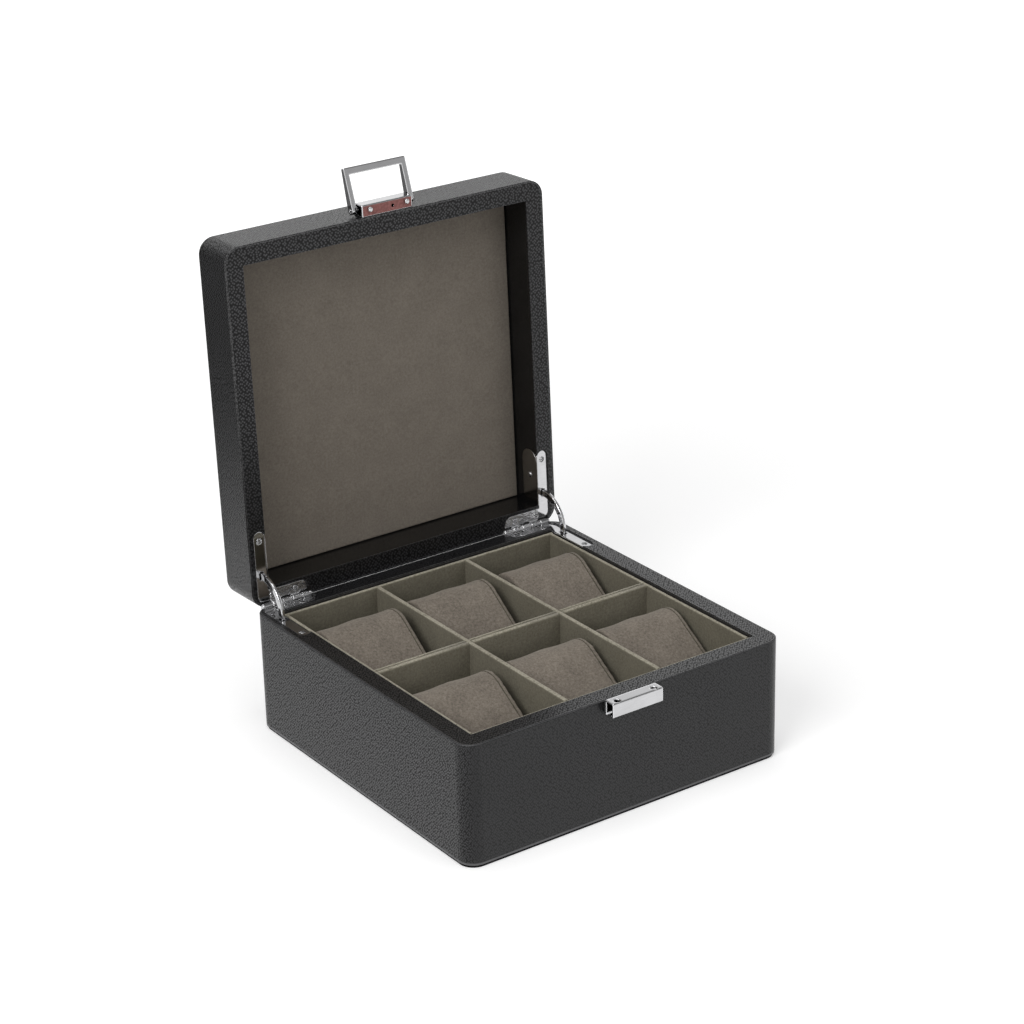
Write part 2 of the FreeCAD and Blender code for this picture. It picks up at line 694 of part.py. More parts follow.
def build_hinges():
    """Both hinges. Returns, for the base and the lid, what each wall board is cut by."""
    cuts = {deck: {"front": [], "back": [], "left": [], "right": []} for deck in (BASE, LID)}
    deck_names = {BASE: "base", LID: "lid"}
    all_screws = {BASE: [], LID: []}
    stops = []
    for name, side in SIDES.items():
        for deck, deck_name in deck_names.items():
            prefix = f"{name}_hinge_{deck_name}"
            screws, holes = leaf_screws(prefix, side, deck)
            hinge_leaf(f"{prefix}_leaf", side, deck, holes)
            all_screws[deck] += screws
            pocket = hinge_pocket(f"{prefix}_pocket", side, deck)
            mortise = stay_mortise(f"{prefix}_mortise", side, deck)
            cuts[deck][name] = [pocket, mortise, holes[0]]
            cuts[deck]["back"] += [pocket, mortise] + holes[1:]
        pin_length = f"({KNUCKLES} * knuckle - knuckle_gap)"
        outer = "(box_width / 2 - barrel_inset)"
        pin_low = side_low(side, f"{outer} - {pin_length}", outer)
        pin = rod(f"{name}_pin", (pin_low, AXIS_Y, AXIS_Z), "pin_radius", pin_length, ALONG_X)
        keep(f"{name}_hinge_pin", pin)
        stops += build_stay(name, side)
    for deck, deck_name in deck_names.items():
        group(f"{deck_name}_hinge_screws", all_screws[deck])
    group("stay_stop_pins", stops)
    return cuts


# Clasp

def clasp_channel(name, level, up):
    """A bent sheet on the front: back plate, flange at a level, front plate and a short lip."""
    body = new_body(name)
    far = f"({FRONT} - clasp_reach)"

    def rise(text):
        return f"{level} + {up} * ({text})"

    corners = [
        (FRONT, rise("clasp_height")),
        (FRONT, rise("0")),
        (far, rise("0")),
        (far, rise("clasp_height")),
        (f"{far} + clasp_lip", rise("clasp_height")),
        (f"{far} + clasp_lip", rise("clasp_height - clasp_sheet")),
        (f"{far} + clasp_sheet", rise("clasp_height - clasp_sheet")),
        (f"{far} + clasp_sheet", rise("clasp_sheet")),
        (f"{FRONT} - clasp_sheet", rise("clasp_sheet")),
        (f"{FRONT} - clasp_sheet", rise("clasp_height")),
    ]
    sheet_pad = body.newObject("PartDesign::Pad", f"{name}_sheet")
    sheet_pad.Profile = polygon(body, f"{name}_profile", "YZ_Plane", corners)
    sheet_pad.SideType = "Symmetric"
    bind(sheet_pad, {"Length": "clasp_width"})
    far_y = value(far)

    def outer_bend(edge):
        box = edge.BoundBox
        return box.XLength > value("clasp_width") - SAME and abs(box.YMin - far_y) < SAME

    round_edges(body, f"{name}_bends", "clasp_bend", outer_bend)
    return body


def clasp_screws(prefix, height):
    face = f"{FRONT} - clasp_sheet"
    places = [(f"{side} * clasp_screw", face, height) for side in SIDES.values()]
    return screw_row(prefix, places, HEAD_FRONT)


def build_catch():
    """The base's half of the clasp, with the two holes that the lid's pins drop into."""
    body = clasp_channel("catch", "base_height", "-1")
    for name, side in SIDES.items():
        hole_at = (f"{side} * locating_spacing / 2", LOCATING_Y, f"base_height - clasp_sheet - {OVERCUT}")
        radius = "locating_radius + locating_gap"
        depth = f"clasp_sheet + 2 * {OVERCUT}"
        add_rod(body, f"catch_{name}_hole", hole_at, radius, depth, None, "Subtractive")
    screws, holes = clasp_screws("catch", "base_height - clasp_height / 2")
    carve("base_catch", body, holes)
    group("base_catch_screws", screws)
    return holes


def build_hasp():
    """The lid's half of the clasp: a channel round the bail's tube, a buffer strip and locating pins."""
    flange = f"({LID_RIM} + buffer)"
    body = clasp_channel("hasp", flange, "1")
    low_x = "-clasp_width / 2"
    tube = "(rod_radius + tube_wall)"
    web_low = (low_x, PIVOT_Y, f"{PIVOT_Z} - clasp_sheet / 2")
    add_box(body, "hasp_web", web_low, ("clasp_width", "pivot_out - clasp_sheet / 2", "clasp_sheet"))
    add_rod(body, "hasp_tube", (low_x, PIVOT_Y, PIVOT_Z), tube, "clasp_width", ALONG_X)
    bore_at = (f"{low_x} - {OVERCUT}", PIVOT_Y, PIVOT_Z)
    add_rod(body, "hasp_bore", bore_at, "rod_radius", f"clasp_width + 2 * {OVERCUT}", ALONG_X, "Subtractive")
    strip_low = (f"{low_x} + clasp_bend", f"{FRONT} - clasp_reach + clasp_bend", LID_RIM)
    strip_span = ("clasp_width - 2 * clasp_bend", "clasp_reach - 2 * clasp_bend", "buffer")
    strip = block("buffer_strip", strip_low, strip_span)
    hole_at = ("buffer_hole_place", PIVOT_Y, f"{LID_RIM} - {OVERCUT}")
    hole = rod("buffer_hole_tool", hole_at, "buffer_hole", f"buffer + clasp_sheet + 2 * {OVERCUT}")
    pins = []
    for name, side in SIDES.items():
        pin = new_body(f"locating_{name}")
        low = f"({LID_RIM} - locating_length)"
        length = f"({flange} + clasp_sheet - {low})"
        place = (f"{side} * locating_spacing / 2", LOCATING_Y, low)
        add_rod(pin, f"locating_{name}_pin", place, "locating_radius", length)
        round_edges(pin, f"locating_{name}_dome", "locating_dome", at_height(low))
        pins.append(pin)
    screws, screw_holes = clasp_screws("hasp", f"{flange} + clasp_height / 2")
    carve("lid_hasp", body, pins + [hole] + screw_holes)
    carve("lid_hasp_buffer", strip, pins + [hole])
    group("lid_locating_pins", pins)
    group("lid_hasp_screws", screws)
    bail_width = "(clasp_width + 2 * bail_gap + 2 * bail_leg)"
    pivot = rod("bail_pivot", (f"-{bail_width} / 2", PIVOT_Y, PIVOT_Z), "rod_radius", bail_width, ALONG_X)
    group("bail_rod", [pivot])
    return screw_holes


def build_bail():
    """The loop that swings down over the catch: two tapered legs with eyes on the rod, and a bar across."""
    body = new_body("bail_loop")
    inner = "(clasp_width / 2 + bail_gap)"
    length = "(bail_inside + bail_bar)"
    for name, side in SIDES.items():
        low_x = side_low(side, inner, f"{inner} + bail_leg")
        add_rod(body, f"bail_{name}_eye", (low_x, PIVOT_Y, PIVOT_Z), "bail_eye", "bail_leg", ALONG_X)
        leg = body.newObject("PartDesign::AdditiveWedge", f"bail_{name}_leg")
        # The leg's far end keeps its flat face towards the box and loses depth outside
        bind(leg, {
            "Xmin": "0",
            "X2min": "0",
            "Xmax": "bail_leg",
            "X2max": "bail_leg",
            "Ymin": "0",
            "Ymax": length,
            "Zmin": "-bail_eye",
            "Zmax": "bail_eye",
            "Z2min": "bail_eye - bail_tip",
            "Z2max": "bail_eye",
        })
        put(leg, low_x, PIVOT_Y, PIVOT_Z, Rotation(Vector(1, 0, 0), -90))
    bar_low = (f"-{inner}", f"{PIVOT_Y} + bail_eye - bail_tip", f"{PIVOT_Z} - {length}")
    add_box(body, "bail_crossbar", bar_low, (f"2 * {inner}", "bail_tip", "bail_bar"))
    bore_low = f"-({inner} + bail_leg + {OVERCUT})"
    bore_length = f"2 * ({inner} + bail_leg + {OVERCUT})"
    bore = "rod_radius + running_gap"
    add_rod(body, "bail_bore", (bore_low, PIVOT_Y, PIVOT_Z), bore, bore_length, ALONG_X, "Subtractive")
    outer_x = value(f"{inner} + bail_leg")

    def outer_corner(edge):
        box = edge.BoundBox
        low_corner = abs(box.ZMin - value(bar_low[2])) < SAME and box.ZLength < SAME
        return low_corner and abs(abs(box.Center.x) - outer_x) < SAME

    round_edges(body, "bail_corners", "bail_round", outer_corner)
    keep("bail", body)


# Swinging the drawn pieces open

def turned(y, z, angle):
    """A point of the YZ plane after the front has risen by an angle about the X axis."""
    across = f"(({y}) * cos({angle}) + ({z}) * sin({angle}))"
    height = f"(({z}) * cos({angle}) - ({y}) * sin({angle}))"
    return across, height


def swing(thing, start, end, angle):
    """Turn a piece about X by an angle, so that a point of it goes from its start to its end."""
    from_y, from_z = turned(*start, angle)
    thing.Placement = Placement(Vector(), Rotation(Vector(1, 0, 0), -value(angle)))
    put(thing, "0", f"{end[0]} - {from_y}", f"{end[1]} - {from_z}")
    bind(thing, {"Placement.Rotation.Angle": f"-({angle})"})


LID_NODES = [
    "lid_front_board", "lid_back_board", "lid_left_board", "lid_right_board", "lid_top_board",
    "lid_cover_leather", "lid_rim_leather", "lid_inner_lining", "lid_lining_panel",
    "left_hinge_lid_leaf", "right_hinge_lid_leaf", "lid_hinge_screws",
    "lid_hasp", "lid_hasp_buffer", "lid_locating_pins", "lid_hasp_screws", "bail_rod",
]


def open_box():
    lid_angle = "(open_angle * 1 deg)"
    axis = (AXIS_Y, AXIS_Z)
    for label in LID_NODES:
        swing(nodes[label], axis, axis, lid_angle)
    arm_y, arm_z = turned(f"{PIVOT_Y} - {AXIS_Y}", f"{PIVOT_Z} - {AXIS_Z}", lid_angle)
    lifted = (f"({AXIS_Y} + {arm_y})", f"({AXIS_Z} + {arm_z})")
    swing(nodes["bail"], (PIVOT_Y, PIVOT_Z), lifted, "((open_angle + bail_angle) * 1 deg)")


def write_parts():
    """Check every object, then write each sub-part to a file of its own."""
    doc.recompute()
    for thing in doc.Objects:
        if "Invalid" in thing.State or "Error" in thing.State:
            raise RuntimeError(f"{thing.Name} failed: {thing.State}")
    for label, thing in nodes.items():
        if thing.Shape.isNull() or not thing.Shape.isValid() or not thing.Shape.Solids:
            raise RuntimeError(f"{label} has no valid solid")
    os.makedirs("parts", exist_ok=True)
    for label, thing in nodes.items():
        thing.Shape.exportStep(f"parts/{label}.step")


hinge_cuts_by_deck = build_hinges()
hinge_cuts_by_deck[BASE]["front"] += build_catch()
hinge_cuts_by_deck[LID]["front"] += build_hasp()
build_base(hinge_cuts_by_deck[BASE])
build_lid(hinge_cuts_by_deck[LID])
build_tray()
build_cushions()
build_bail()
open_box()
write_parts()
print(len(nodes), "sub-parts")
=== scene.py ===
import json
import math

import bpy
from bpy.props import FloatProperty, FloatVectorProperty, IntProperty, PointerProperty
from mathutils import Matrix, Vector


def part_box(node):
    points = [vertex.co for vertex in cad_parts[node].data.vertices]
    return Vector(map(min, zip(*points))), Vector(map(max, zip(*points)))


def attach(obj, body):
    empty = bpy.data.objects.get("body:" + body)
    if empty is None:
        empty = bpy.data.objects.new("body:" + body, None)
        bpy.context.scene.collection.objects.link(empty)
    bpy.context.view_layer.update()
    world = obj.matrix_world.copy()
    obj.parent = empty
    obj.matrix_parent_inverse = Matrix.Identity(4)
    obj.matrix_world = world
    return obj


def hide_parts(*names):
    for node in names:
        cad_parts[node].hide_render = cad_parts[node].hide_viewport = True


bl_info = {
    "name": "Watch Box Looks",
    "version": (1, 0, 0),
    "blender": (4, 5, 0),
    "location": "View3D > Sidebar > Watch Box",
    "description": "Dresses the packed watch box in leather, suede and chrome, and stuffs its cushions",
    "category": "Object",
}

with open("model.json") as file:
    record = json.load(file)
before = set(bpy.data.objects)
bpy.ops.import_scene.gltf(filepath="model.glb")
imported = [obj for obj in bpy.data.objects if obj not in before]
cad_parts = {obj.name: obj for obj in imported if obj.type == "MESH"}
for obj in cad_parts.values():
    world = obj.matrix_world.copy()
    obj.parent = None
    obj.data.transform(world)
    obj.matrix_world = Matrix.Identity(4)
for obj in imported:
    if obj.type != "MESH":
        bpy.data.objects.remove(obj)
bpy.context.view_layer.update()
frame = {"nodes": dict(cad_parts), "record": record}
NODES = frame["nodes"]

MM = 0.001
WHITE = (1, 1, 1, 1)
# Points of a mesh that lie nearer to each other than this become one point
MERGE_DISTANCE = 0.01 * MM
# Faces that meet at less than this angle are shaded as one smooth surface
SMOOTH_ANGLE = math.radians(40)
# The share of a cushion's solid, out from its middle, that isn't drawn in towards its ends
FULL_SHARE = 0.7
# How a cushion's cover withstands stretching and bending while it is stuffed
CLOTH_STRETCH = 25
CLOTH_BEND = 2
# Thickness of the smooth leather inside the lid
LINING_SHEET = 0.8 * MM
# How far a side plate lies off that leather, and how far behind and above the hinge's axis it starts
PLATE_SEAT = 0.02 * MM
PLATE_SETBACK = 0.8 * MM
PLATE_RISE = 13.5 * MM
# Radius of a side plate's corners away from the hinge, as a share of its width
PLATE_END = 0.48
# The head of the screw in a side plate
SCREW_RADIUS = 1.9 * MM
SCREW_HEIGHT = 0.5 * MM
SCREW_SLOT = 0.5 * MM
SENSOR_WIDTH_MM = 36
# The way to the bright window that polished edges catch
WINDOW = (-0.80, -0.56, 0.20)
# Name, place, aim, width and height of the panel, power in watts, and whether polished surfaces mirror it
LIGHTS = [
    ("key panel", (-3.0, -1.2, 2.6), (0, 0, 0.12), 2.0, 2.0, 70.0, True),
    ("top panel", (0.1, 0.1, 3.6), (0, 0, 0.1), 2.0, 2.0, 30.0, True),
    ("front panel", (1.2, -3.2, 1.5), (0, 0, 0.12), 1.8, 1.4, 11.0, False),
]

BOARD_NODES = [
    f"{part}_{side}_board" for part in ("base", "lid") for side in ("front", "back", "left", "right")
] + ["base_floor_board", "lid_top_board"]
SUEDE_NODES = [
    "tray_floor_card", "tray_front_wall", "tray_back_wall", "tray_left_wall", "tray_right_wall",
    "tray_long_divider", "tray_left_divider", "tray_right_divider",
]
LEAF_NODES = ["left_hinge_base_leaf", "right_hinge_base_leaf", "left_hinge_lid_leaf", "right_hinge_lid_leaf"]
CHROME_NODES = [
    "left_hinge_pin", "right_hinge_pin", "left_stay", "right_stay", "stay_stop_pins",
    "base_catch", "lid_hasp", "lid_locating_pins", "bail", "bail_rod",
]
SCREW_NODES = ["base_hinge_screws", "lid_hinge_screws", "base_catch_screws", "lid_hasp_screws"]
CUSHION_NODES = [
    f"{row}_{column}_cushion" for row in ("back", "front") for column in ("left", "middle", "right")
]


# Settings

def colour_property(name, description, default):
    return FloatVectorProperty(name=name, description=description, default=default, size=3, min=0, max=1,
                               subtype="COLOR")


def length_property(name, description, default_mm):
    return FloatProperty(name=name, description=description, default=default_mm * MM, min=0, precision=5,
                         subtype="DISTANCE", unit="LENGTH")


def share_property(name, description, default):
    return FloatProperty(name=name, description=description, default=default, min=0, max=1, subtype="FACTOR")


def gloss_property(name, description, default):
    return FloatProperty(name=name, description=description, default=default, min=1, max=4)


class LeatherSettings(bpy.types.PropertyGroup):
    """The pebbled leather outside, the smooth leather inside the lid, and the boards and felt under them."""

    # The grain's colours paint shade between its bumps and a highlight on their tops
    valley_shade: colour_property("Valley", "Colour between the grain's bumps", (0.0018, 0.0018, 0.0020))
    crown: colour_property("Crown", "Colour on top of the grain's bumps", (0.034, 0.034, 0.037))
    # Colour of the painted highlight on sharp edges, on the band turned over a rim, and along the foot
    edge: colour_property("Edge", "Colour of the leather's rubbed edges", (0.15, 0.15, 0.155))
    inside: colour_property("Inside", "Colour of the smooth leather in the lid", (0.0035, 0.0035, 0.0037))
    pitch: length_property("Pitch", "Distance between two pebbles of the grain", 1.35)
    relief: length_property("Relief", "Height of the grain", 0.28)
    # How far the painted highlight reaches in from a sharp edge, and how high the painted light band at the
    # foot reaches
    highlit: length_property("Highlit edge", "How far the painted glint reaches in from an edge", 0.7)
    hem: length_property("Hem", "Height of the rubbed hem at the foot of the base", 1.3)
    base_gloss: gloss_property("Base gloss", "Refractive index of the finish on the base's sides", 1.51)
    base_rim_gloss: gloss_property("Base rim gloss", "Refractive index of the finish on the base's rim", 1.95)
    lid_gloss: gloss_property("Lid gloss", "Refractive index of the finish on the outside of the lid", 1.85)
    lid_rim_gloss: gloss_property("Lid rim gloss", "Refractive index of the finish on the lid's rim", 1.7)
    board_dark: colour_property("Board dark", "Dark flakes of the boards", (0.010, 0.009, 0.008))
    board_light: colour_property("Board light", "Light flakes of the boards", (0.024, 0.022, 0.020))
    felt: colour_property("Felt", "Colour of the felt that the base stands on", (0.010, 0.010, 0.011))


class SuedeSettings(bpy.types.PropertyGroup):
    """The suede of the tray, the lid's lining and the cushions."""

    tray_dark: colour_property("Tray dark", "Tray suede with its nap down", (0.125, 0.114, 0.085))
    tray_light: colour_property("Tray light", "Tray suede with its nap up", (0.204, 0.187, 0.142))
    lining_dark: colour_property("Lining dark", "Lid lining with its nap down", (0.142, 0.124, 0.103))
    lining_light: colour_property("Lining light", "Lid lining with its nap up", (0.205, 0.180, 0.151))
    cushion_dark: colour_property("Cushion dark", "Cushion suede with its nap down", (0.114, 0.098, 0.081))
    cushion_light: colour_property("Cushion light", "Cushion suede with its nap up", (0.243, 0.211, 0.175))
    # Painted light on the tray's upward-facing tops
    tray_top_light: colour_property("Tray edge", "Tray suede rubbed light on its top edges", (0.36, 0.335, 0.27))
    # The seam is real, but its dark colour is painted shade of the crease it sews
    seam_shade: colour_property("Thread", "Sunk seam of a cushion", (0.050, 0.043, 0.035))
    ridges: FloatProperty(name="Ridges", description="Width of the padded divider, as a share of its card",
                          default=2.0, min=1)
    nap: length_property("Nap", "Height of the suede's nap", 0.12)


class MetalSettings(bpy.types.PropertyGroup):
    """The chrome of hinges and clasp, and the strip under the hasp."""

    chrome: colour_property("Chrome", "Colour of the polished plate", (0.66, 0.66, 0.67))
    screws: colour_property("Screws", "Colour of the screw heads", (0.60, 0.60, 0.61))
    # Painted shade in the metal's holes, slots and crevices
    cavity_shade: colour_property("Cavity", "Colour in the metal's holes and slots", (0.015, 0.015, 0.015))
    polish: share_property("Polish", "Roughness of the plate where it is cleanest", 0.07)
    dull_polish: share_property("Dull polish", "Roughness of the screws and side plates when clean", 0.17)
    # This radius also sets the width of the painted highlight on the metal's edges
    rounding: length_property("Rounding", "Radius that polishing gives the edges", 1.3)
    plate: colour_property("Plate", "Colour of the side plates in the lid, by the hinges", (0.34, 0.33, 0.32))
    plate_length: length_property("Plate length", "Length of the side plates", 33.5)
    plate_width: length_property("Plate width", "Width of the side plates", 15.2)
    plate_sheet: length_property("Plate sheet", "Thickness of the side plates", 0.3)
    plate_corner: length_property("Plate corner", "Radius of the side plates' corners near the hinge", 3.0)
    buffer: colour_property("Buffer", "Colour of the strip under the hasp", (0.29, 0.130, 0.120))


class CushionSettings(bpy.types.PropertyGroup):
    """How the six cushions are stuffed and sewn."""

    voxel: length_property("Cloth size", "Size of the cloth's mesh before it is stuffed", 1.7)
    cut: FloatVectorProperty(name="Cut", description="Size of the unstuffed cloth, as a share of the solid",
                             size=3, default=(0.998, 0.985, 1.0), subtype="XYZ")
    pressure: FloatProperty(name="Stuffing", description="Pressure of the stuffing", default=0.5, min=0)
    steps: IntProperty(name="Steps", description="Steps of the cloth simulation", default=20, min=2)
    swell: length_property("Swell", "The most that a point of the cloth moves", 6.0)
    seam_inset: length_property("Seam inset", "Distance from a cushion's right end to its seam", 2.6)
    seam: length_property("Seam", "Radius of the sewn seam", 0.35)
    fill: share_property("Fill", "How tight the cushions are filled", 0.85)


class StageSettings(bpy.types.PropertyGroup):
    """The camera, the floor and the lights."""

    camera_place: FloatVectorProperty(name="Camera place", description="Where the camera stands", size=3,
                                      default=(-0.84036, -1.20902, 0.77307), subtype="TRANSLATION",
                                      unit="LENGTH")
    camera_turn: FloatVectorProperty(name="Camera turn", description="Which way the camera looks", size=3,
                                     default=[math.radians(turn) for turn in (66.9011, 1.3304, -35.3863)],
                                     subtype="EULER")
    lens: FloatProperty(name="Lens", description="Focal length in millimetres", default=98.929, unit="CAMERA")
    floor: colour_property("Floor", "Colour of the floor", (0.80, 0.80, 0.80))
    floor_glow: FloatProperty(name="Floor glow", description="Light in the floor that only the lens sees",
                              default=0.38, min=0)
    daylight: FloatProperty(name="Daylight", description="Strength of the even light from all round",
                            default=0.5, min=0)
    backdrop: share_property("Backdrop", "How bright polished surfaces see the room behind the box", 1.0)
    left_side: share_property("Left side", "How bright polished surfaces see the room at the back left", 0.15)
    front: share_property("Front", "How bright polished surfaces see the room behind the camera", 0.45)
    ceiling: share_property("Ceiling", "How bright polished surfaces see the room overhead", 0.4)
    dark_band: share_property("Dark band", "How bright polished surfaces see the room above the camera", 0.12)


class WatchBoxSettings(bpy.types.PropertyGroup):
    """All that can be changed about the looks."""

    leather: PointerProperty(type=LeatherSettings)
    suede: PointerProperty(type=SuedeSettings)
    metal: PointerProperty(type=MetalSettings)
    cushion: PointerProperty(type=CushionSettings)
    stage: PointerProperty(type=StageSettings)


# Node building

def add_node(tree, kind, inputs=None, **settings):
    """A node with its settings made and its inputs linked or filled in."""
    node = tree.nodes.new(kind)
    for name, setting in settings.items():
        setattr(node, name, setting)
    for key, source in (inputs or {}).items():
        if isinstance(source, Field):
            source = source.socket
        if isinstance(source, bpy.types.NodeSocket):
            tree.links.new(source, node.inputs[key])
        else:
            node.inputs[key].default_value = source
    return node


class Field:
    """A number that changes over a surface, written with plain arithmetic."""

    def __init__(self, tree, socket):
        self.tree = tree
        self.socket = socket

    def apply(self, operation, *others):
        inputs = dict(enumerate([self.socket, *others]))
        node = add_node(self.tree, "ShaderNodeMath", inputs, operation=operation)
        return Field(self.tree, node.outputs[0])

    def __add__(self, other):
        return self.apply("ADD", other)

    def __sub__(self, other):
        return self.apply("SUBTRACT", other)

    def __mul__(self, other):
        return self.apply("MULTIPLY", other)

    def __truediv__(self, other):
        return self.apply("DIVIDE", other)

    __radd__ = __add__
    __rmul__ = __mul__

    def __rsub__(self, other):
        node = add_node(self.tree, "ShaderNodeMath", {0: other, 1: self.socket}, operation="SUBTRACT")
        return Field(self.tree, node.outputs[0])

    def choose(self, low, high):
        """The low field where this one is 0, and the high field where it is 1."""
        return low + (high - low) * self


def noise(tree, place, scale, detail=2.0, roughness=0.5):
    """Cloudy noise, with so many clouds to the metre."""
    node = add_node(tree, "ShaderNodeTexNoise", {"Vector": place, "Scale": scale, "Detail": detail,
                                                 "Roughness": roughness})
    return Field(tree, node.outputs["Fac"])


def split(tree, vector):
    """The X, Y and Z of a vector, as fields."""
    node = add_node(tree, "ShaderNodeSeparateXYZ", {"Vector": vector})
    return [Field(tree, socket) for socket in node.outputs]


def ease(tree, field, low, high):
    """0 below a low value, 1 above a high one, and a smooth rise between them."""
    node = add_node(tree, "ShaderNodeMapRange", {"Value": field, "From Min": low, "From Max": high},
                    interpolation_type="SMOOTHSTEP")
    return Field(tree, node.outputs["Result"])


def new_group(name, inputs, outputs):
    """An empty shader node group with number sockets."""
    tree = bpy.data.node_groups.new(name, "ShaderNodeTree")
    for label, default in inputs.items():
        socket = tree.interface.new_socket(label, in_out="INPUT", socket_type="NodeSocketFloat")
        socket.default_value = default
    for label in outputs:
        tree.interface.new_socket(label, in_out="OUTPUT", socket_type="NodeSocketFloat")
    entry = tree.nodes.new("NodeGroupInput")
    exit_node = tree.nodes.new("NodeGroupOutput")
    return tree, entry, exit_node


def pebble_grain():
    """Pebbles in slanting rows that run round the box's corners. Puts out their height and a wear mask."""
    inputs = {"Pitch": 1.5 * MM, "Disorder": 0.6, "Pores": 1400.0, "Clouds": 38.0}
    tree, entry, exit_node = new_group("Pebble grain", inputs, ["Height", "Wear"])
    coordinates = tree.nodes.new("ShaderNodeTexCoord")
    x, y, z = split(tree, coordinates.outputs["Object"])
    upward = split(tree, coordinates.outputs["Normal"])[2]
    level = upward.apply("ABSOLUTE").apply("GREATER_THAN", 0.7)
    along = level.choose(x.apply("ABSOLUTE") - y.apply("ABSOLUTE"), x) / entry.outputs["Pitch"]
    across = level.choose(z, y) / entry.outputs["Pitch"]
    slant = math.sqrt(0.5)
    rows = add_node(tree, "ShaderNodeCombineXYZ", {
        "X": (along + across) * slant,
        "Y": (along - across) * slant,
    })
    cells = add_node(tree, "ShaderNodeTexVoronoi", {"Vector": rows.outputs["Vector"], "Scale": 1.0,
                                                    "Randomness": entry.outputs["Disorder"]},
                     voronoi_dimensions="2D", feature="F1")
    distance = Field(tree, cells.outputs["Distance"])
    dome = (1 - distance * 1.5).apply("MAXIMUM", 0.0)
    pores = noise(tree, coordinates.outputs["Object"], entry.outputs["Pores"])
    height = dome * 0.85 + pores * 0.15
    wear = noise(tree, coordinates.outputs["Object"], entry.outputs["Clouds"], detail=4.0, roughness=0.6)
    tree.links.new(height.socket, exit_node.inputs["Height"])
    tree.links.new(wear.socket, exit_node.inputs["Wear"])
    return tree


def suede_nap():
    """Nap of suede: soft patches where it was stroked, and short fibres. Puts out its shade and height."""
    inputs = {"Patch": 60.0, "Fibre": 1500.0, "Fleck": 720.0}
    tree, entry, exit_node = new_group("Suede nap", inputs, ["Shade", "Height"])
    place = tree.nodes.new("ShaderNodeTexCoord").outputs["Object"]
    patch = noise(tree, place, entry.outputs["Patch"], detail=3.0, roughness=0.55)
    fibre = noise(tree, place, entry.outputs["Fibre"], roughness=0.7)
    fleck = noise(tree, place, entry.outputs["Fleck"], roughness=0.6)
    shade = patch * 0.2 + fibre * 0.35 + fleck * 0.45
    height = fibre * 0.7 + fleck * 0.3
    tree.links.new(shade.socket, exit_node.inputs["Shade"])
    tree.links.new(height.socket, exit_node.inputs["Height"])
    return tree


def polish_marks():
    """Fine wiping marks and faint smudges on polished metal. Puts out one mask."""
    tree, entry, exit_node = new_group("Polish marks", {"Fineness": 2600.0, "Smudge": 95.0}, ["Mask"])
    place = tree.nodes.new("ShaderNodeTexCoord").outputs["Object"]
    stretched = add_node(tree, "ShaderNodeMapping", {"Vector": place, "Scale": (0.08, 1.0, 1.0)})
    marks = noise(tree, stretched.outputs["Vector"], entry.outputs["Fineness"], roughness=0.6)
    smudge = noise(tree, place, entry.outputs["Smudge"], detail=3.0)
    mask = marks * 0.55 + smudge * 0.45
    tree.links.new(mask.socket, exit_node.inputs["Mask"])
    return tree


def painted_edge_highlight():
    """Where a sharp edge gets a painted highlight: the true surface against one with rounded edges. Puts out
    one mask.
    """
    tree, entry, exit_node = new_group("Painted edge highlight", {"Radius": 0.6 * MM}, ["Mask"])
    rounded = add_node(tree, "ShaderNodeBevel", {"Radius": entry.outputs["Radius"]}, samples=6)
    true_normal = tree.nodes.new("ShaderNodeNewGeometry").outputs["Normal"]
    node = add_node(tree, "ShaderNodeVectorMath", {0: rounded.outputs["Normal"], 1: true_normal},
                    operation="DOT_PRODUCT")
    mask = ease(tree, 1 - Field(tree, node.outputs["Value"]), 0.01, 0.2)
    tree.links.new(mask.socket, exit_node.inputs["Mask"])
    return tree


def group_for(name, maker):
    """A node group, made the first time that it is asked for."""
    return bpy.data.node_groups.get(name) or maker()


def new_material(name):
    """A material with an empty tree but for a Principled shader and the output."""
    material = bpy.data.materials.new(name)
    material.use_nodes = True
    tree = material.node_tree
    return material, tree, tree.nodes["Principled BSDF"]


def use_group(tree, group, inputs):
    """The outputs of a node group placed in a material with its own values."""
    return add_node(tree, "ShaderNodeGroup", inputs, node_tree=group).outputs


def blend_colours(tree, factor, first, second):
    """A colour that goes from the first to the second with a field."""
    ramp = add_node(tree, "ShaderNodeValToRGB", {"Fac": factor})
    ramp.color_ramp.elements[0].color = (*first, 1)
    ramp.color_ramp.elements[1].color = (*second, 1)
    return ramp


def spread(ramp, low, high):
    """Move a ramp's two colours to where a field's values lie."""
    ramp.color_ramp.elements[0].position = low
    ramp.color_ramp.elements[1].position = high
    return ramp.outputs["Color"]


def bump(tree, height, distance, normal=None):
    """A surface raised by a height, on top of another normal where one is given."""
    inputs = {"Height": height, "Distance": distance}
    if normal is not None:
        inputs["Normal"] = normal
    return add_node(tree, "ShaderNodeBump", inputs).outputs["Normal"]


def link_in(tree, shader, sockets):
    """Link what changes over the surface to a shader's named sockets."""
    for name, source in sockets.items():
        if isinstance(source, Field):
            source = source.socket
        tree.links.new(source, shader.inputs[name])


def facing(tree, direction):
    """How far a surface faces a direction, from -1 to 1."""
    normal = tree.nodes.new("ShaderNodeTexCoord").outputs["Normal"]
    node = add_node(tree, "ShaderNodeVectorMath", {0: normal, 1: direction}, operation="DOT_PRODUCT")
    return Field(tree, node.outputs["Value"])


def mix_colours(tree, factor, first, second):
    # The Mix node has one set of sockets for each kind of data; 6, 7 and 2 are those for colours
    node = add_node(tree, "ShaderNodeMix", {0: factor, 6: first, 7: second}, data_type="RGBA")
    return node.outputs[2]


# Materials

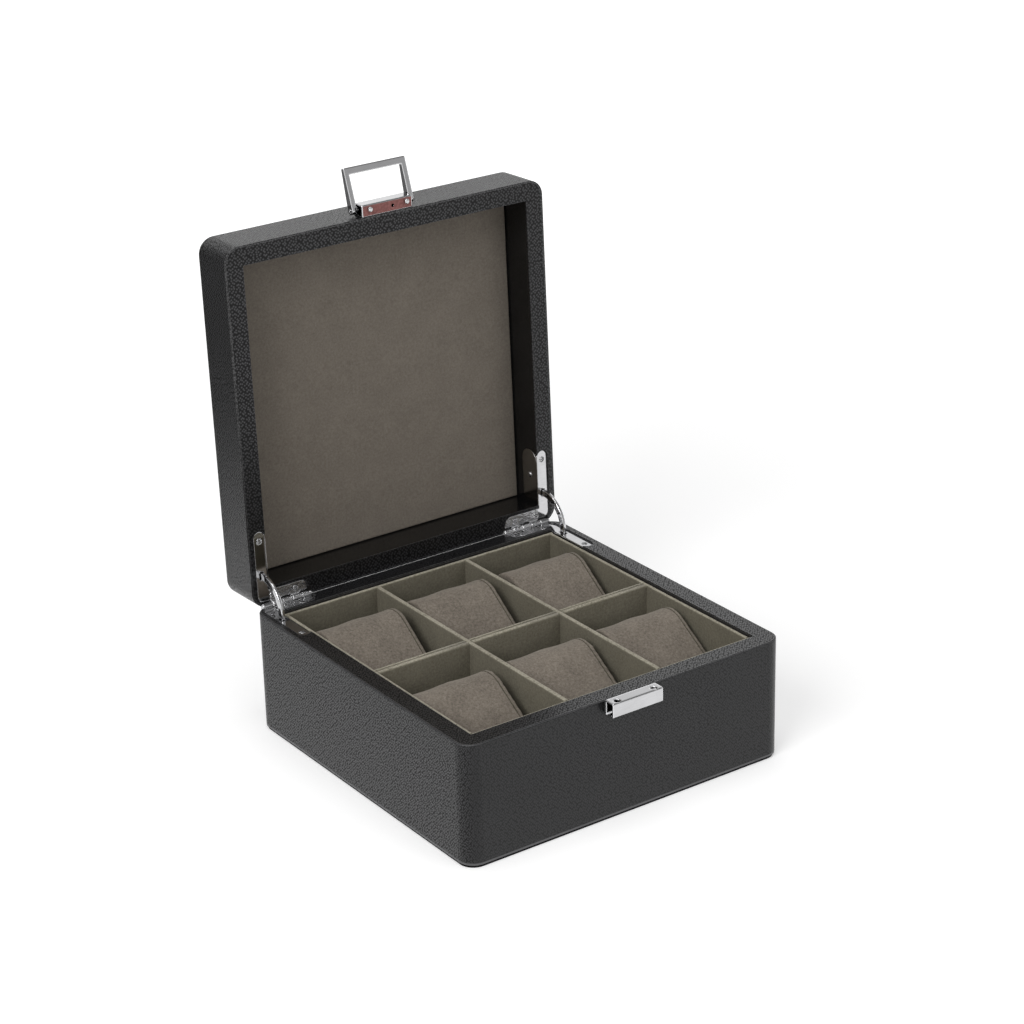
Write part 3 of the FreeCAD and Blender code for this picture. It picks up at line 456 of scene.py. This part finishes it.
def grained_leather(name, gloss, turned_to=None, flattened_to=None, hem=None, highlight_strength=1.0, shine=(0.15, 0.8),
                    coarse=1.0):
    """Pebbled leather whose crowns shine, more and more between two heights of the grain.

    It gets painted highlights on sharp edges, where it is turned over a rim towards one direction, and below
    the height of a hem. Where it faces another direction its grain is flattened, with the grain's painted
    shade and highlight.
    """
    settings = bpy.context.scene.watch_box.leather
    material, tree, shader = new_material(name)
    grain = use_group(tree, group_for("Pebble grain", pebble_grain), {"Pitch": settings.pitch * coarse})
    height = Field(tree, grain["Height"])
    wear = Field(tree, grain["Wear"])
    # Where the leather faces that direction, the grain's bump is flattened, and with it its painted shade and
    # highlight
    if flattened_to:
        height = ease(tree, facing(tree, flattened_to), 0.5, 0.95).choose(height, height * 0.3 + 0.32)
    # The grain's colour runs from painted shade in its valleys to a painted highlight on its crowns
    tone = height * (wear * 0.5 + 0.75)
    colour = spread(blend_colours(tree, tone, settings.valley_shade, settings.crown), 0.3, 1.0)
    # Painted highlight on sharp edges, where the true surface differs from a rounded one
    edges = use_group(tree, group_for("Painted edge highlight", painted_edge_highlight), {"Radius": settings.highlit})["Mask"]
    highlit = Field(tree, edges) * highlight_strength
    # Painted highlight on the band where the leather turns over a rim towards one direction
    if turned_to:
        turned = facing(tree, turned_to)
        band = ease(tree, turned, 0.3, 0.6) * (1 - ease(tree, turned, 0.8, 0.97))
        highlit = highlit.apply("MAXIMUM", band * highlight_strength * 0.5)
    # Painted light band along the foot, below the hem
    if hem:
        level = split(tree, tree.nodes.new("ShaderNodeTexCoord").outputs["Object"])[2]
        highlit = highlit.apply("MAXIMUM", 1 - ease(tree, level, hem - 0.5 * MM, hem + 0.3 * MM))
    link_in(tree, shader, {
        "Base Color": mix_colours(tree, highlit * (wear * 0.6 + 0.4), colour, (*settings.edge, 1)),
        "Roughness": 0.6 - height * 0.15 + (wear - 0.5) * 0.1,
        "Coat Weight": ease(tree, height, *shine) * 0.75 + 0.2,
        "Normal": bump(tree, height, settings.relief),
    })
    shader.inputs["Specular IOR Level"].default_value = 0.12
    shader.inputs["Coat Roughness"].default_value = 0.26
    shader.inputs["Coat IOR"].default_value = gloss
    return material


def smooth_leather():
    """Half-gloss leather with fine pores."""
    settings = bpy.context.scene.watch_box.leather
    material, tree, shader = new_material("smooth leather")
    place = tree.nodes.new("ShaderNodeTexCoord").outputs["Object"]
    pores = noise(tree, place, scale=1100.0, detail=3.0, roughness=0.6)
    cloud = noise(tree, place, scale=70.0)
    lighter = [min(1.0, share * 1.8) for share in settings.inside]
    link_in(tree, shader, {
        "Base Color": spread(blend_colours(tree, cloud, settings.inside, lighter), 0.3, 0.7),
        "Roughness": 0.08 + cloud * 0.1,
        "Normal": bump(tree, pores, 0.02 * MM),
    })
    shader.inputs["Specular IOR Level"].default_value = 0.4
    return material


def suede(name, dark, light, edge=None):
    """Napped suede; with an edge colour, what faces up near the top of the tray gets painted light."""
    settings = bpy.context.scene.watch_box.suede
    material, tree, shader = new_material(name)
    nap = use_group(tree, group_for("Suede nap", suede_nap), {})
    colour = spread(blend_colours(tree, nap["Shade"], dark, light), 0.36, 0.64)
    # Painted light where the tray faces up near its top
    if edge:
        height = split(tree, tree.nodes.new("ShaderNodeTexCoord").outputs["Object"])[2]
        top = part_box("tray_long_divider")[1].z
        upward = ease(tree, facing(tree, (0, 0, 1)), 0.2, 0.7)
        highlit = upward * ease(tree, height, top - 0.5 * MM, top - 0.3 * MM)
        colour = mix_colours(tree, highlit * ease(tree, nap["Shade"], 0.3, 0.62), colour, (*edge, 1))
    link_in(tree, shader, {
        "Base Color": colour,
        "Normal": bump(tree, nap["Height"], settings.nap),
    })
    shader.inputs["Roughness"].default_value = 0.95
    shader.inputs["Specular IOR Level"].default_value = 0.12
    shader.inputs["Sheen Weight"].default_value = 0.22
    shader.inputs["Sheen Roughness"].default_value = 0.45
    shader.inputs["Sheen Tint"].default_value = (0.95, 0.9, 0.8, 1)
    return material


def polished(name, colour, polish, etched=False):
    """Plated metal with painted shade in holes and slots, painted highlights on edges. Etched, the hinges'
    wings inside the walls are pitted.
    """
    settings = bpy.context.scene.watch_box.metal
    material, tree, shader = new_material(name)
    marks = Field(tree, use_group(tree, group_for("Polish marks", polish_marks), {})["Mask"])
    worn = [share * 0.86 for share in colour]
    plate = spread(blend_colours(tree, marks, worn, colour), 0.3, 0.6)
    # Painted shade in holes, slots and crevices, laid by ambient occlusion
    reach, closed, open_air = (3 * MM, 0.1, 0.5) if etched else (8 * MM, 0.3, 0.6)
    shade = add_node(tree, "ShaderNodeAmbientOcclusion", {"Distance": reach}, samples=8)
    cavity_shade = ease(tree, Field(tree, shade.outputs["AO"]), closed, open_air)
    # Painted highlight on the edges, lighter than the plate
    edges = use_group(tree, group_for("Painted edge highlight", painted_edge_highlight), {"Radius": settings.rounding})["Mask"]
    bright = [min(1.0, share * 1.4) for share in colour]
    plate = mix_colours(tree, edges, plate, (*bright, 1))
    roughness = marks * 0.12 + (polish - 0.05)
    normal = add_node(tree, "ShaderNodeBevel", {"Radius": settings.rounding}, samples=8).outputs["Normal"]
    if etched:
        place = tree.nodes.new("ShaderNodeTexCoord").outputs["Object"]
        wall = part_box("lid_lining_panel")[1].x
        wing = 1 - ease(tree, split(tree, place)[0].apply("ABSOLUTE"), wall - MM, wall)
        pits = noise(tree, place, scale=420.0, detail=4.0, roughness=0.6) * wing
        normal = bump(tree, pits, 0.6 * MM, normal)
        roughness = roughness + wing * 0.06
    link_in(tree, shader, {
        "Base Color": mix_colours(tree, cavity_shade, (*settings.cavity_shade, 1), plate),
        "Roughness": roughness,
        "Normal": normal,
    })
    shader.inputs["Metallic"].default_value = 1
    return material


def matt_hide(name, colour, grain_scale):
    """Felt or hide with a fine matt grain."""
    material, tree, shader = new_material(name)
    place = tree.nodes.new("ShaderNodeTexCoord").outputs["Object"]
    grain = noise(tree, place, grain_scale, detail=3.0, roughness=0.6)
    darker = [share * 0.7 for share in colour]
    link_in(tree, shader, {
        "Base Color": spread(blend_colours(tree, grain, darker, colour), 0.35, 0.65),
        "Normal": bump(tree, grain, 0.05 * MM),
    })
    shader.inputs["Roughness"].default_value = 0.8
    shader.inputs["Specular IOR Level"].default_value = 0.08
    return material


def fibreboard():
    """Dark board pressed from flakes."""
    settings = bpy.context.scene.watch_box.leather
    material, tree, shader = new_material("fibreboard")
    place = tree.nodes.new("ShaderNodeTexCoord").outputs["Object"]
    flakes = noise(tree, place, scale=620.0, detail=4.0, roughness=0.65)
    cloud = noise(tree, place, scale=55.0)
    tone = flakes * 0.7 + cloud * 0.3
    ramp = blend_colours(tree, tone, settings.board_dark, settings.board_light)
    link_in(tree, shader, {
        "Base Color": spread(ramp, 0.35, 0.65),
        "Normal": bump(tree, flakes, 0.06 * MM),
    })
    shader.inputs["Roughness"].default_value = 0.85
    return material


def dress(names, material):
    """Give CAD nodes a material of their own."""
    for name in names:
        slots = NODES[name].data.materials
        slots.clear()
        slots.append(material)


# Modelling helpers

def pick(*objects):
    """Select only these objects, the first one active."""
    for other in bpy.context.selected_objects:
        other.select_set(False)
    for thing in objects:
        thing.select_set(True)
    bpy.context.view_layer.objects.active = objects[0]


def edit_all(thing):
    """Go into edit mode on one object with all of its mesh selected."""
    pick(thing)
    bpy.ops.object.mode_set(mode="EDIT")
    bpy.ops.mesh.select_all(action="SELECT")


def copy_of(source, name):
    """A new object with its own copy of a mesh, at the origin."""
    piece = bpy.data.objects.new(name, source.data.copy())
    bpy.context.scene.collection.objects.link(piece)
    return piece


def cut_cloth(node, name):
    """A cushion's cover before stuffing: the full middle of the CAD solid, drawn out to its length."""
    settings = bpy.context.scene.watch_box.cushion
    piece = copy_of(node, name)
    low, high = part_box(node.name)
    edit_all(piece)
    bpy.ops.mesh.remove_doubles(threshold=MERGE_DISTANCE)
    middle = (low + high) / 2
    middle.z = low.z
    reach = (high.x - low.x) / 2 * FULL_SHARE
    for side in (-1, 1):
        bpy.ops.mesh.select_all(action="SELECT")
        bpy.ops.mesh.bisect(plane_co=(middle.x + side * reach, 0, 0), plane_no=(side, 0, 0), use_fill=True,
                            clear_outer=True)
    bpy.ops.mesh.select_all(action="SELECT")
    x, y, z = settings.cut
    bpy.ops.transform.resize(value=(x / FULL_SHARE, y, z), center_override=middle)
    bpy.ops.object.mode_set(mode="OBJECT")
    piece.data.remesh_voxel_size = settings.voxel
    bpy.ops.object.voxel_remesh()
    return piece


def stuff(piece, low, high):
    """Swell the cover as cloth, its underside and sewn-in ends held, and cap how far it moves."""
    settings = bpy.context.scene.watch_box.cushion
    scene = bpy.context.scene
    start = [vertex.co.copy() for vertex in piece.data.vertices]
    held = piece.vertex_groups.new(name="held")
    reach = settings.voxel
    still = [
        vertex.index for vertex in piece.data.vertices
        if vertex.co.z < low.z + reach or not low.x + reach < vertex.co.x < high.x - reach
    ]
    held.add(still, 1.0, "REPLACE")
    cloth = piece.modifiers.new("stuffing", "CLOTH")
    cloth.settings.vertex_group_mass = held.name
    cloth.settings.use_pressure = True
    cloth.settings.uniform_pressure_force = settings.pressure
    cloth.settings.tension_stiffness = CLOTH_STRETCH
    cloth.settings.compression_stiffness = CLOTH_STRETCH
    cloth.settings.bending_stiffness = CLOTH_BEND
    cloth.settings.effector_weights.gravity = 0
    for step in range(1, settings.steps + 1):
        scene.frame_set(step)
    pick(piece)
    bpy.ops.object.modifier_apply(modifier=cloth.name)
    scene.frame_set(1)
    for vertex, place in zip(piece.data.vertices, start):
        move = vertex.co - place
        if move.length > settings.swell:
            vertex.co = place + move.normalized() * settings.swell
    piece.vertex_groups.clear()


def seam_at(piece, across, name):
    """A sewn seam round a cushion, where a plane across its length cuts it."""
    settings = bpy.context.scene.watch_box.cushion
    seam = copy_of(piece, name)
    edit_all(seam)
    bpy.ops.mesh.bisect(plane_co=(across, 0, 0), plane_no=(1, 0, 0), clear_inner=True, clear_outer=True)
    bpy.ops.object.mode_set(mode="OBJECT")
    seam.data.materials.clear()
    pick(seam)
    bpy.ops.object.convert(target="CURVE")
    seam.data.bevel_depth = settings.seam
    seam.data.bevel_resolution = 2
    bpy.ops.object.convert(target="MESH")
    return seam


def lid_lean():
    """The lid's hinge axis, and how far it leans back past upright."""
    hinge = next(joint for joint in frame["record"]["behaviour"]["joints"] if joint["name"] == "lid_hinge")
    return Vector(hinge["pos_m"]), math.radians(-hinge["range_deg"][0] - 90)


def pick_edges(piece, wanted):
    """Go into edit mode with only the edges selected whose two ends pass a test."""
    edit_all(piece)
    bpy.ops.mesh.select_mode(type="EDGE")
    bpy.ops.mesh.select_all(action="DESELECT")
    bpy.ops.object.mode_set(mode="OBJECT")
    for edge in piece.data.edges:
        edge.select = wanted(*[piece.data.vertices[index].co for index in edge.vertices])
    bpy.ops.object.mode_set(mode="EDIT")


def rounded_plate(name, size, centre, top_radius, low_radius):
    """A sheet that stands across X, with one radius for its upper corners and one for its lower ones."""
    bpy.ops.mesh.primitive_cube_add(size=1, location=centre, scale=size)
    plate = bpy.context.object
    plate.name = name
    bpy.ops.object.transform_apply()
    for radius, up in ((top_radius, 1), (low_radius, -1)):
        pick_edges(plate, lambda a, b: abs(a.x - b.x) > size.x / 2 and up * (a.z - centre.z) > size.z * 0.4)
        bpy.ops.mesh.bevel(offset=radius, segments=10, affect="EDGES")
        bpy.ops.object.mode_set(mode="OBJECT")
    return plate


def slotted_head(name, centre, side):
    """A domed screw head on a wall across X, with a slot."""
    bpy.ops.mesh.primitive_cylinder_add(vertices=32, radius=SCREW_RADIUS, depth=SCREW_HEIGHT, location=centre,
                                        rotation=(0, math.radians(90), 0))
    head = bpy.context.object
    head.name = name
    bpy.ops.object.transform_apply()
    crown = centre.x - side * SCREW_HEIGHT / 2
    pick_edges(head, lambda a, b: max(abs(a.x - crown), abs(b.x - crown)) < SCREW_HEIGHT / 4)
    bpy.ops.mesh.bevel(offset=SCREW_HEIGHT * 0.8, segments=4, affect="EDGES")
    bpy.ops.object.mode_set(mode="OBJECT")
    bpy.ops.mesh.primitive_cube_add(size=1, location=(crown, centre.y, centre.z),
                                    scale=(SCREW_HEIGHT, SCREW_SLOT, 3 * SCREW_RADIUS))
    cutter = bpy.context.object
    bpy.ops.object.transform_apply()
    pick(head)
    cut = head.modifiers.new("slot", "BOOLEAN")
    cut.object = cutter
    bpy.ops.object.modifier_apply(modifier=cut.name)
    bpy.data.objects.remove(cutter)
    return head


# Operators

class WATCHBOX_OT_dress_leather(bpy.types.Operator):
    """Cover the outside, the rims and the inside of the lid with leather"""

    bl_idname = "watchbox.dress_leather"
    bl_label = "Dress Leather"

    def execute(self, context):
        settings = context.scene.watch_box.leather
        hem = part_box("base_side_leather")[0].z + settings.hem
        base_rim = grained_leather("base rim leather", settings.base_rim_gloss)
        lid_rim = grained_leather("lid rim leather", settings.lid_rim_gloss, highlight_strength=0.35, shine=(0.35, 0.9),
                                  coarse=1.25)
        base = grained_leather("base leather", settings.base_gloss, turned_to=(0, 0, 1),
                               flattened_to=(0, -1, 0), hem=hem)
        lid = grained_leather("lid leather", settings.lid_gloss, turned_to=(0, -1, 0),
                              flattened_to=(0, 1, 0), highlight_strength=0.5)
        dress(["base_rim_leather"], base_rim)
        dress(["lid_rim_leather"], lid_rim)
        dress(["base_side_leather"], base)
        dress(["lid_cover_leather"], lid)
        dress(["lid_inner_lining"], smooth_leather())
        dress(["base_bottom_pad"], matt_hide("foot felt", settings.felt, grain_scale=900.0))
        dress(BOARD_NODES, fibreboard())
        return {"FINISHED"}


class WATCHBOX_OT_dress_suede(bpy.types.Operator):
    """Cover the tray and the lid's lining panel with suede"""

    bl_idname = "watchbox.dress_suede"
    bl_label = "Dress Suede"

    def execute(self, context):
        settings = context.scene.watch_box.suede
        dress(SUEDE_NODES, suede("tray suede", settings.tray_dark, settings.tray_light, settings.tray_top_light))
        dress(["lid_lining_panel"], suede("lining suede", settings.lining_dark, settings.lining_light))
        return {"FINISHED"}


class WATCHBOX_OT_pad_divider(bpy.types.Operator):
    """Pad the tray's long divider, whose suede is sewn down the middle, in two ridges"""

    bl_idname = "watchbox.pad_divider"
    bl_label = "Pad Divider"

    def execute(self, context):
        node = NODES["tray_long_divider"]
        piece = copy_of(node, "padded_long_divider")
        edit_all(piece)
        bpy.ops.mesh.remove_doubles(threshold=MERGE_DISTANCE)
        ridges = context.scene.watch_box.suede.ridges
        bpy.ops.transform.resize(value=(1, ridges, 1), center_override=(0, 0, 0))
        bpy.ops.object.mode_set(mode="OBJECT")
        bpy.ops.object.shade_smooth_by_angle(angle=SMOOTH_ANGLE)
        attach(piece, "base")
        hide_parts(node.name)
        return {"FINISHED"}


class WATCHBOX_OT_polish_metal(bpy.types.Operator):
    """Plate the hinges, stays and clasp with chrome, and colour the buffer strip"""

    bl_idname = "watchbox.polish_metal"
    bl_label = "Polish Metal"

    def execute(self, context):
        settings = context.scene.watch_box.metal
        dress(CHROME_NODES, polished("chrome plate", settings.chrome, settings.polish))
        dress(LEAF_NODES, polished("hinge plate", settings.chrome, settings.polish, etched=True))
        dress(SCREW_NODES, polished("screw steel", settings.screws, settings.dull_polish))
        dress(["lid_hasp_buffer"], matt_hide("buffer hide", settings.buffer, grain_scale=700.0))
        return {"FINISHED"}


class WATCHBOX_OT_fit_side_plates(bpy.types.Operator):
    """Line the lid's side walls beside the hinges with a thin screwed plate each"""

    bl_idname = "watchbox.fit_side_plates"
    bl_label = "Fit Side Plates"

    def execute(self, context):
        settings = context.scene.watch_box.metal
        axis, lean = lid_lean()
        size = Vector((settings.plate_sheet, settings.plate_width, settings.plate_length))
        far_radius = size.y * PLATE_END
        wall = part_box("lid_inner_lining")[1].x - LINING_SHEET - PLATE_SEAT
        steel = polished("plate steel", settings.plate, settings.dull_polish)
        screw_steel = NODES["lid_hasp_screws"].data.materials[0]
        for side, word in ((-1, "left"), (1, "right")):
            across = side * (wall - size.x / 2)
            centre = axis + Vector((across, PLATE_SETBACK + size.y / 2, PLATE_RISE + size.z / 2))
            plate = rounded_plate(f"{word}_side_plate", size, centre, far_radius, settings.plate_corner)
            place = centre - Vector((side * (size.x + SCREW_HEIGHT) / 2, 0, 0))
            head = slotted_head(f"{word}_side_plate_screw", place, side)
            for piece, metal, slot in ((plate, steel, "chrome"), (head, screw_steel, "screw_steel")):
                edit_all(piece)
                bpy.ops.transform.rotate(value=lean, orient_axis="X", center_override=axis)
                bpy.ops.object.mode_set(mode="OBJECT")
                bpy.ops.object.shade_smooth_by_angle(angle=SMOOTH_ANGLE)
                piece.data.materials.append(metal)
                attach(piece, "lid")
        return {"FINISHED"}


class WATCHBOX_OT_stuff_cushions(bpy.types.Operator):
    """Sew and stuff the six cushions"""

    bl_idname = "watchbox.stuff_cushions"
    bl_label = "Stuff Cushions"

    def execute(self, context):
        settings = context.scene.watch_box
        cover = suede("cushion suede", settings.suede.cushion_dark, settings.suede.cushion_light)
        # The seam's suede is dark: painted shade of the crease at the seam
        seam_shade = suede("cushion seam", settings.suede.seam_shade, settings.suede.tray_dark)
        for node_name in CUSHION_NODES:
            node = NODES[node_name]
            low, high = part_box(node_name)
            piece = cut_cloth(node, node_name.replace("cushion", "pillow"))
            stuff(piece, low, high)
            pick(piece)
            smoother = piece.modifiers.new("rounding", "SUBSURF")
            smoother.levels = 1
            smoother.render_levels = 1
            bpy.ops.object.modifier_apply(modifier=smoother.name)
            bpy.ops.object.shade_smooth()
            piece.data.materials.clear()
            piece.data.materials.append(cover)
            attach(piece, node_name)
            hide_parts(node_name)
            seam = seam_at(piece, high.x - settings.cushion.seam_inset, node_name.replace("cushion", "seam"))
            seam.data.materials.append(seam_shade)
            bpy.ops.object.shade_smooth()
            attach(seam, node_name)
        return {"FINISHED"}


# Stage

def make_floor(settings):
    """A pale floor that keeps the box's shadow and that the lens sees white."""
    bpy.ops.mesh.primitive_circle_add(vertices=96, radius=5, fill_type="NGON")
    floor = bpy.context.object
    floor.name = "floor"
    material, tree, shader = new_material("pale floor")
    shader.inputs["Base Color"].default_value = (*settings.floor, 1)
    shader.inputs["Roughness"].default_value = 0.9
    shader.inputs["Specular IOR Level"].default_value = 0.0
    x, y, _ = split(tree, tree.nodes.new("ShaderNodeTexCoord").outputs["Object"])
    distance = (x * x + y * y).apply("SQRT")
    lens, mirrored = seen_by(tree)
    # Further off the lamps reach the floor less, and the glow makes up for it. To the right, where the
    # shadow falls, it is weaker
    glow = ease(tree, distance, 0.4, 1.6) * 0.45 - ease(tree, x, 0.0, 0.2) * 0.08 + settings.floor_glow
    light = add_node(tree, "ShaderNodeEmission", {"Color": WHITE, "Strength": lens * glow})
    lit = add_node(tree, "ShaderNodeAddShader", {0: shader.outputs["BSDF"], 1: light.outputs["Emission"]})
    # Polished surfaces see it white as well, but dim behind the box to the left, away from the lamps
    dim = ease(tree, (y - x) * math.sqrt(0.5), 0.25, 0.7)
    reflected = dim.choose(1.0, settings.left_side)
    image = add_node(tree, "ShaderNodeEmission", {"Color": WHITE, "Strength": reflected})
    both = add_node(tree, "ShaderNodeMixShader", {
        0: mirrored,
        1: lit.outputs["Shader"],
        2: image.outputs["Emission"],
    })
    tree.links.new(both.outputs["Shader"], tree.nodes["Material Output"].inputs["Surface"])
    floor.data.materials.append(material)


def seen_by(tree):
    """Masks of the rays from the lens, and of those that come by way of polished or clear surfaces."""
    path = tree.nodes.new("ShaderNodeLightPath")
    lens = Field(tree, path.outputs["Is Camera Ray"])
    glossy = Field(tree, path.outputs["Is Glossy Ray"])
    return lens, glossy.apply("MAXIMUM", path.outputs["Is Transmission Ray"])


def light_world(settings):
    """A white room. Polished surfaces see it white behind the box, and darker on the other sides."""
    world = bpy.data.worlds.new("studio")
    bpy.context.scene.world = world
    world.use_nodes = True
    tree = world.node_tree
    place = tree.nodes.new("ShaderNodeTexCoord").outputs["Generated"]
    x, y, z = split(tree, place)
    high = ease(tree, z, 0.3, 0.7)
    left = ease(tree, x, -0.1, -0.5)
    behind = high.choose(left.choose(settings.backdrop, settings.left_side), settings.ceiling)
    before = high.choose(settings.front, settings.dark_band)
    room = ease(tree, y, -0.3, 0.2).choose(before, behind)
    towards = add_node(tree, "ShaderNodeVectorMath", {0: place, 1: WINDOW}, operation="DOT_PRODUCT")
    window = ease(tree, Field(tree, towards.outputs["Value"]), 0.82, 0.94)
    room = window.choose(room, settings.backdrop)
    lens, mirrored = seen_by(tree)
    strength = lens.choose(mirrored.choose(settings.daylight, room), 1.0)
    tree.links.new(strength.socket, tree.nodes["Background"].inputs["Strength"])
    tree.nodes["Background"].inputs["Color"].default_value = WHITE


class WATCHBOX_OT_set_stage(bpy.types.Operator):
    """Set up the floor, the lights and the camera"""

    bl_idname = "watchbox.set_stage"
    bl_label = "Set Stage"

    def execute(self, context):
        settings = context.scene.watch_box.stage
        context.scene.view_settings.view_transform = "Standard"
        make_floor(settings)
        light_world(settings)
        for name, place, aim, width, height, power, mirrored in LIGHTS:
            lamp = bpy.data.lights.new(name, "AREA")
            lamp.shape = "RECTANGLE"
            lamp.size = width
            lamp.size_y = height
            lamp.energy = power
            holder = bpy.data.objects.new(name, lamp)
            holder.location = place
            holder.rotation_euler = (Vector(aim) - Vector(place)).to_track_quat("-Z", "Y").to_euler()
            holder.visible_glossy = mirrored
            context.scene.collection.objects.link(holder)
        camera = bpy.data.cameras.new("camera")
        camera.lens = settings.lens
        camera.sensor_width = SENSOR_WIDTH_MM
        camera.clip_start = 0.05
        camera.clip_end = 50
        holder = bpy.data.objects.new("camera", camera)
        holder.location = settings.camera_place
        holder.rotation_euler = settings.camera_turn
        context.scene.collection.objects.link(holder)
        context.scene.camera = holder
        return {"FINISHED"}


class WATCHBOX_PT_sidebar(bpy.types.Panel):
    """Buttons for the watch box's looks"""

    bl_idname = "WATCHBOX_PT_sidebar"
    bl_label = "Watch Box"
    bl_space_type = "VIEW_3D"
    bl_region_type = "UI"
    bl_category = "Watch Box"

    def draw(self, context):
        for operator in OPERATORS:
            self.layout.operator(operator.bl_idname)


OPERATORS = [
    WATCHBOX_OT_dress_leather,
    WATCHBOX_OT_dress_suede,
    WATCHBOX_OT_pad_divider,
    WATCHBOX_OT_polish_metal,
    WATCHBOX_OT_fit_side_plates,
    WATCHBOX_OT_stuff_cushions,
    WATCHBOX_OT_set_stage,
]
CLASSES = [
    LeatherSettings, SuedeSettings, MetalSettings, CushionSettings, StageSettings, WatchBoxSettings,
    *OPERATORS, WATCHBOX_PT_sidebar,
]


def register():
    for entry in CLASSES:
        bpy.utils.register_class(entry)
    bpy.types.Scene.watch_box = PointerProperty(type=WatchBoxSettings)


def unregister():
    del bpy.types.Scene.watch_box
    for entry in reversed(CLASSES):
        bpy.utils.unregister_class(entry)


def main():
    """Dress the part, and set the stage."""
    register()
    bpy.ops.watchbox.dress_leather()
    bpy.ops.watchbox.dress_suede()
    bpy.ops.watchbox.pad_divider()
    bpy.ops.watchbox.polish_metal()
    bpy.ops.watchbox.fit_side_plates()
    bpy.ops.watchbox.stuff_cushions()
    bpy.ops.watchbox.set_stage()


if __name__ == "__main__":
    main()
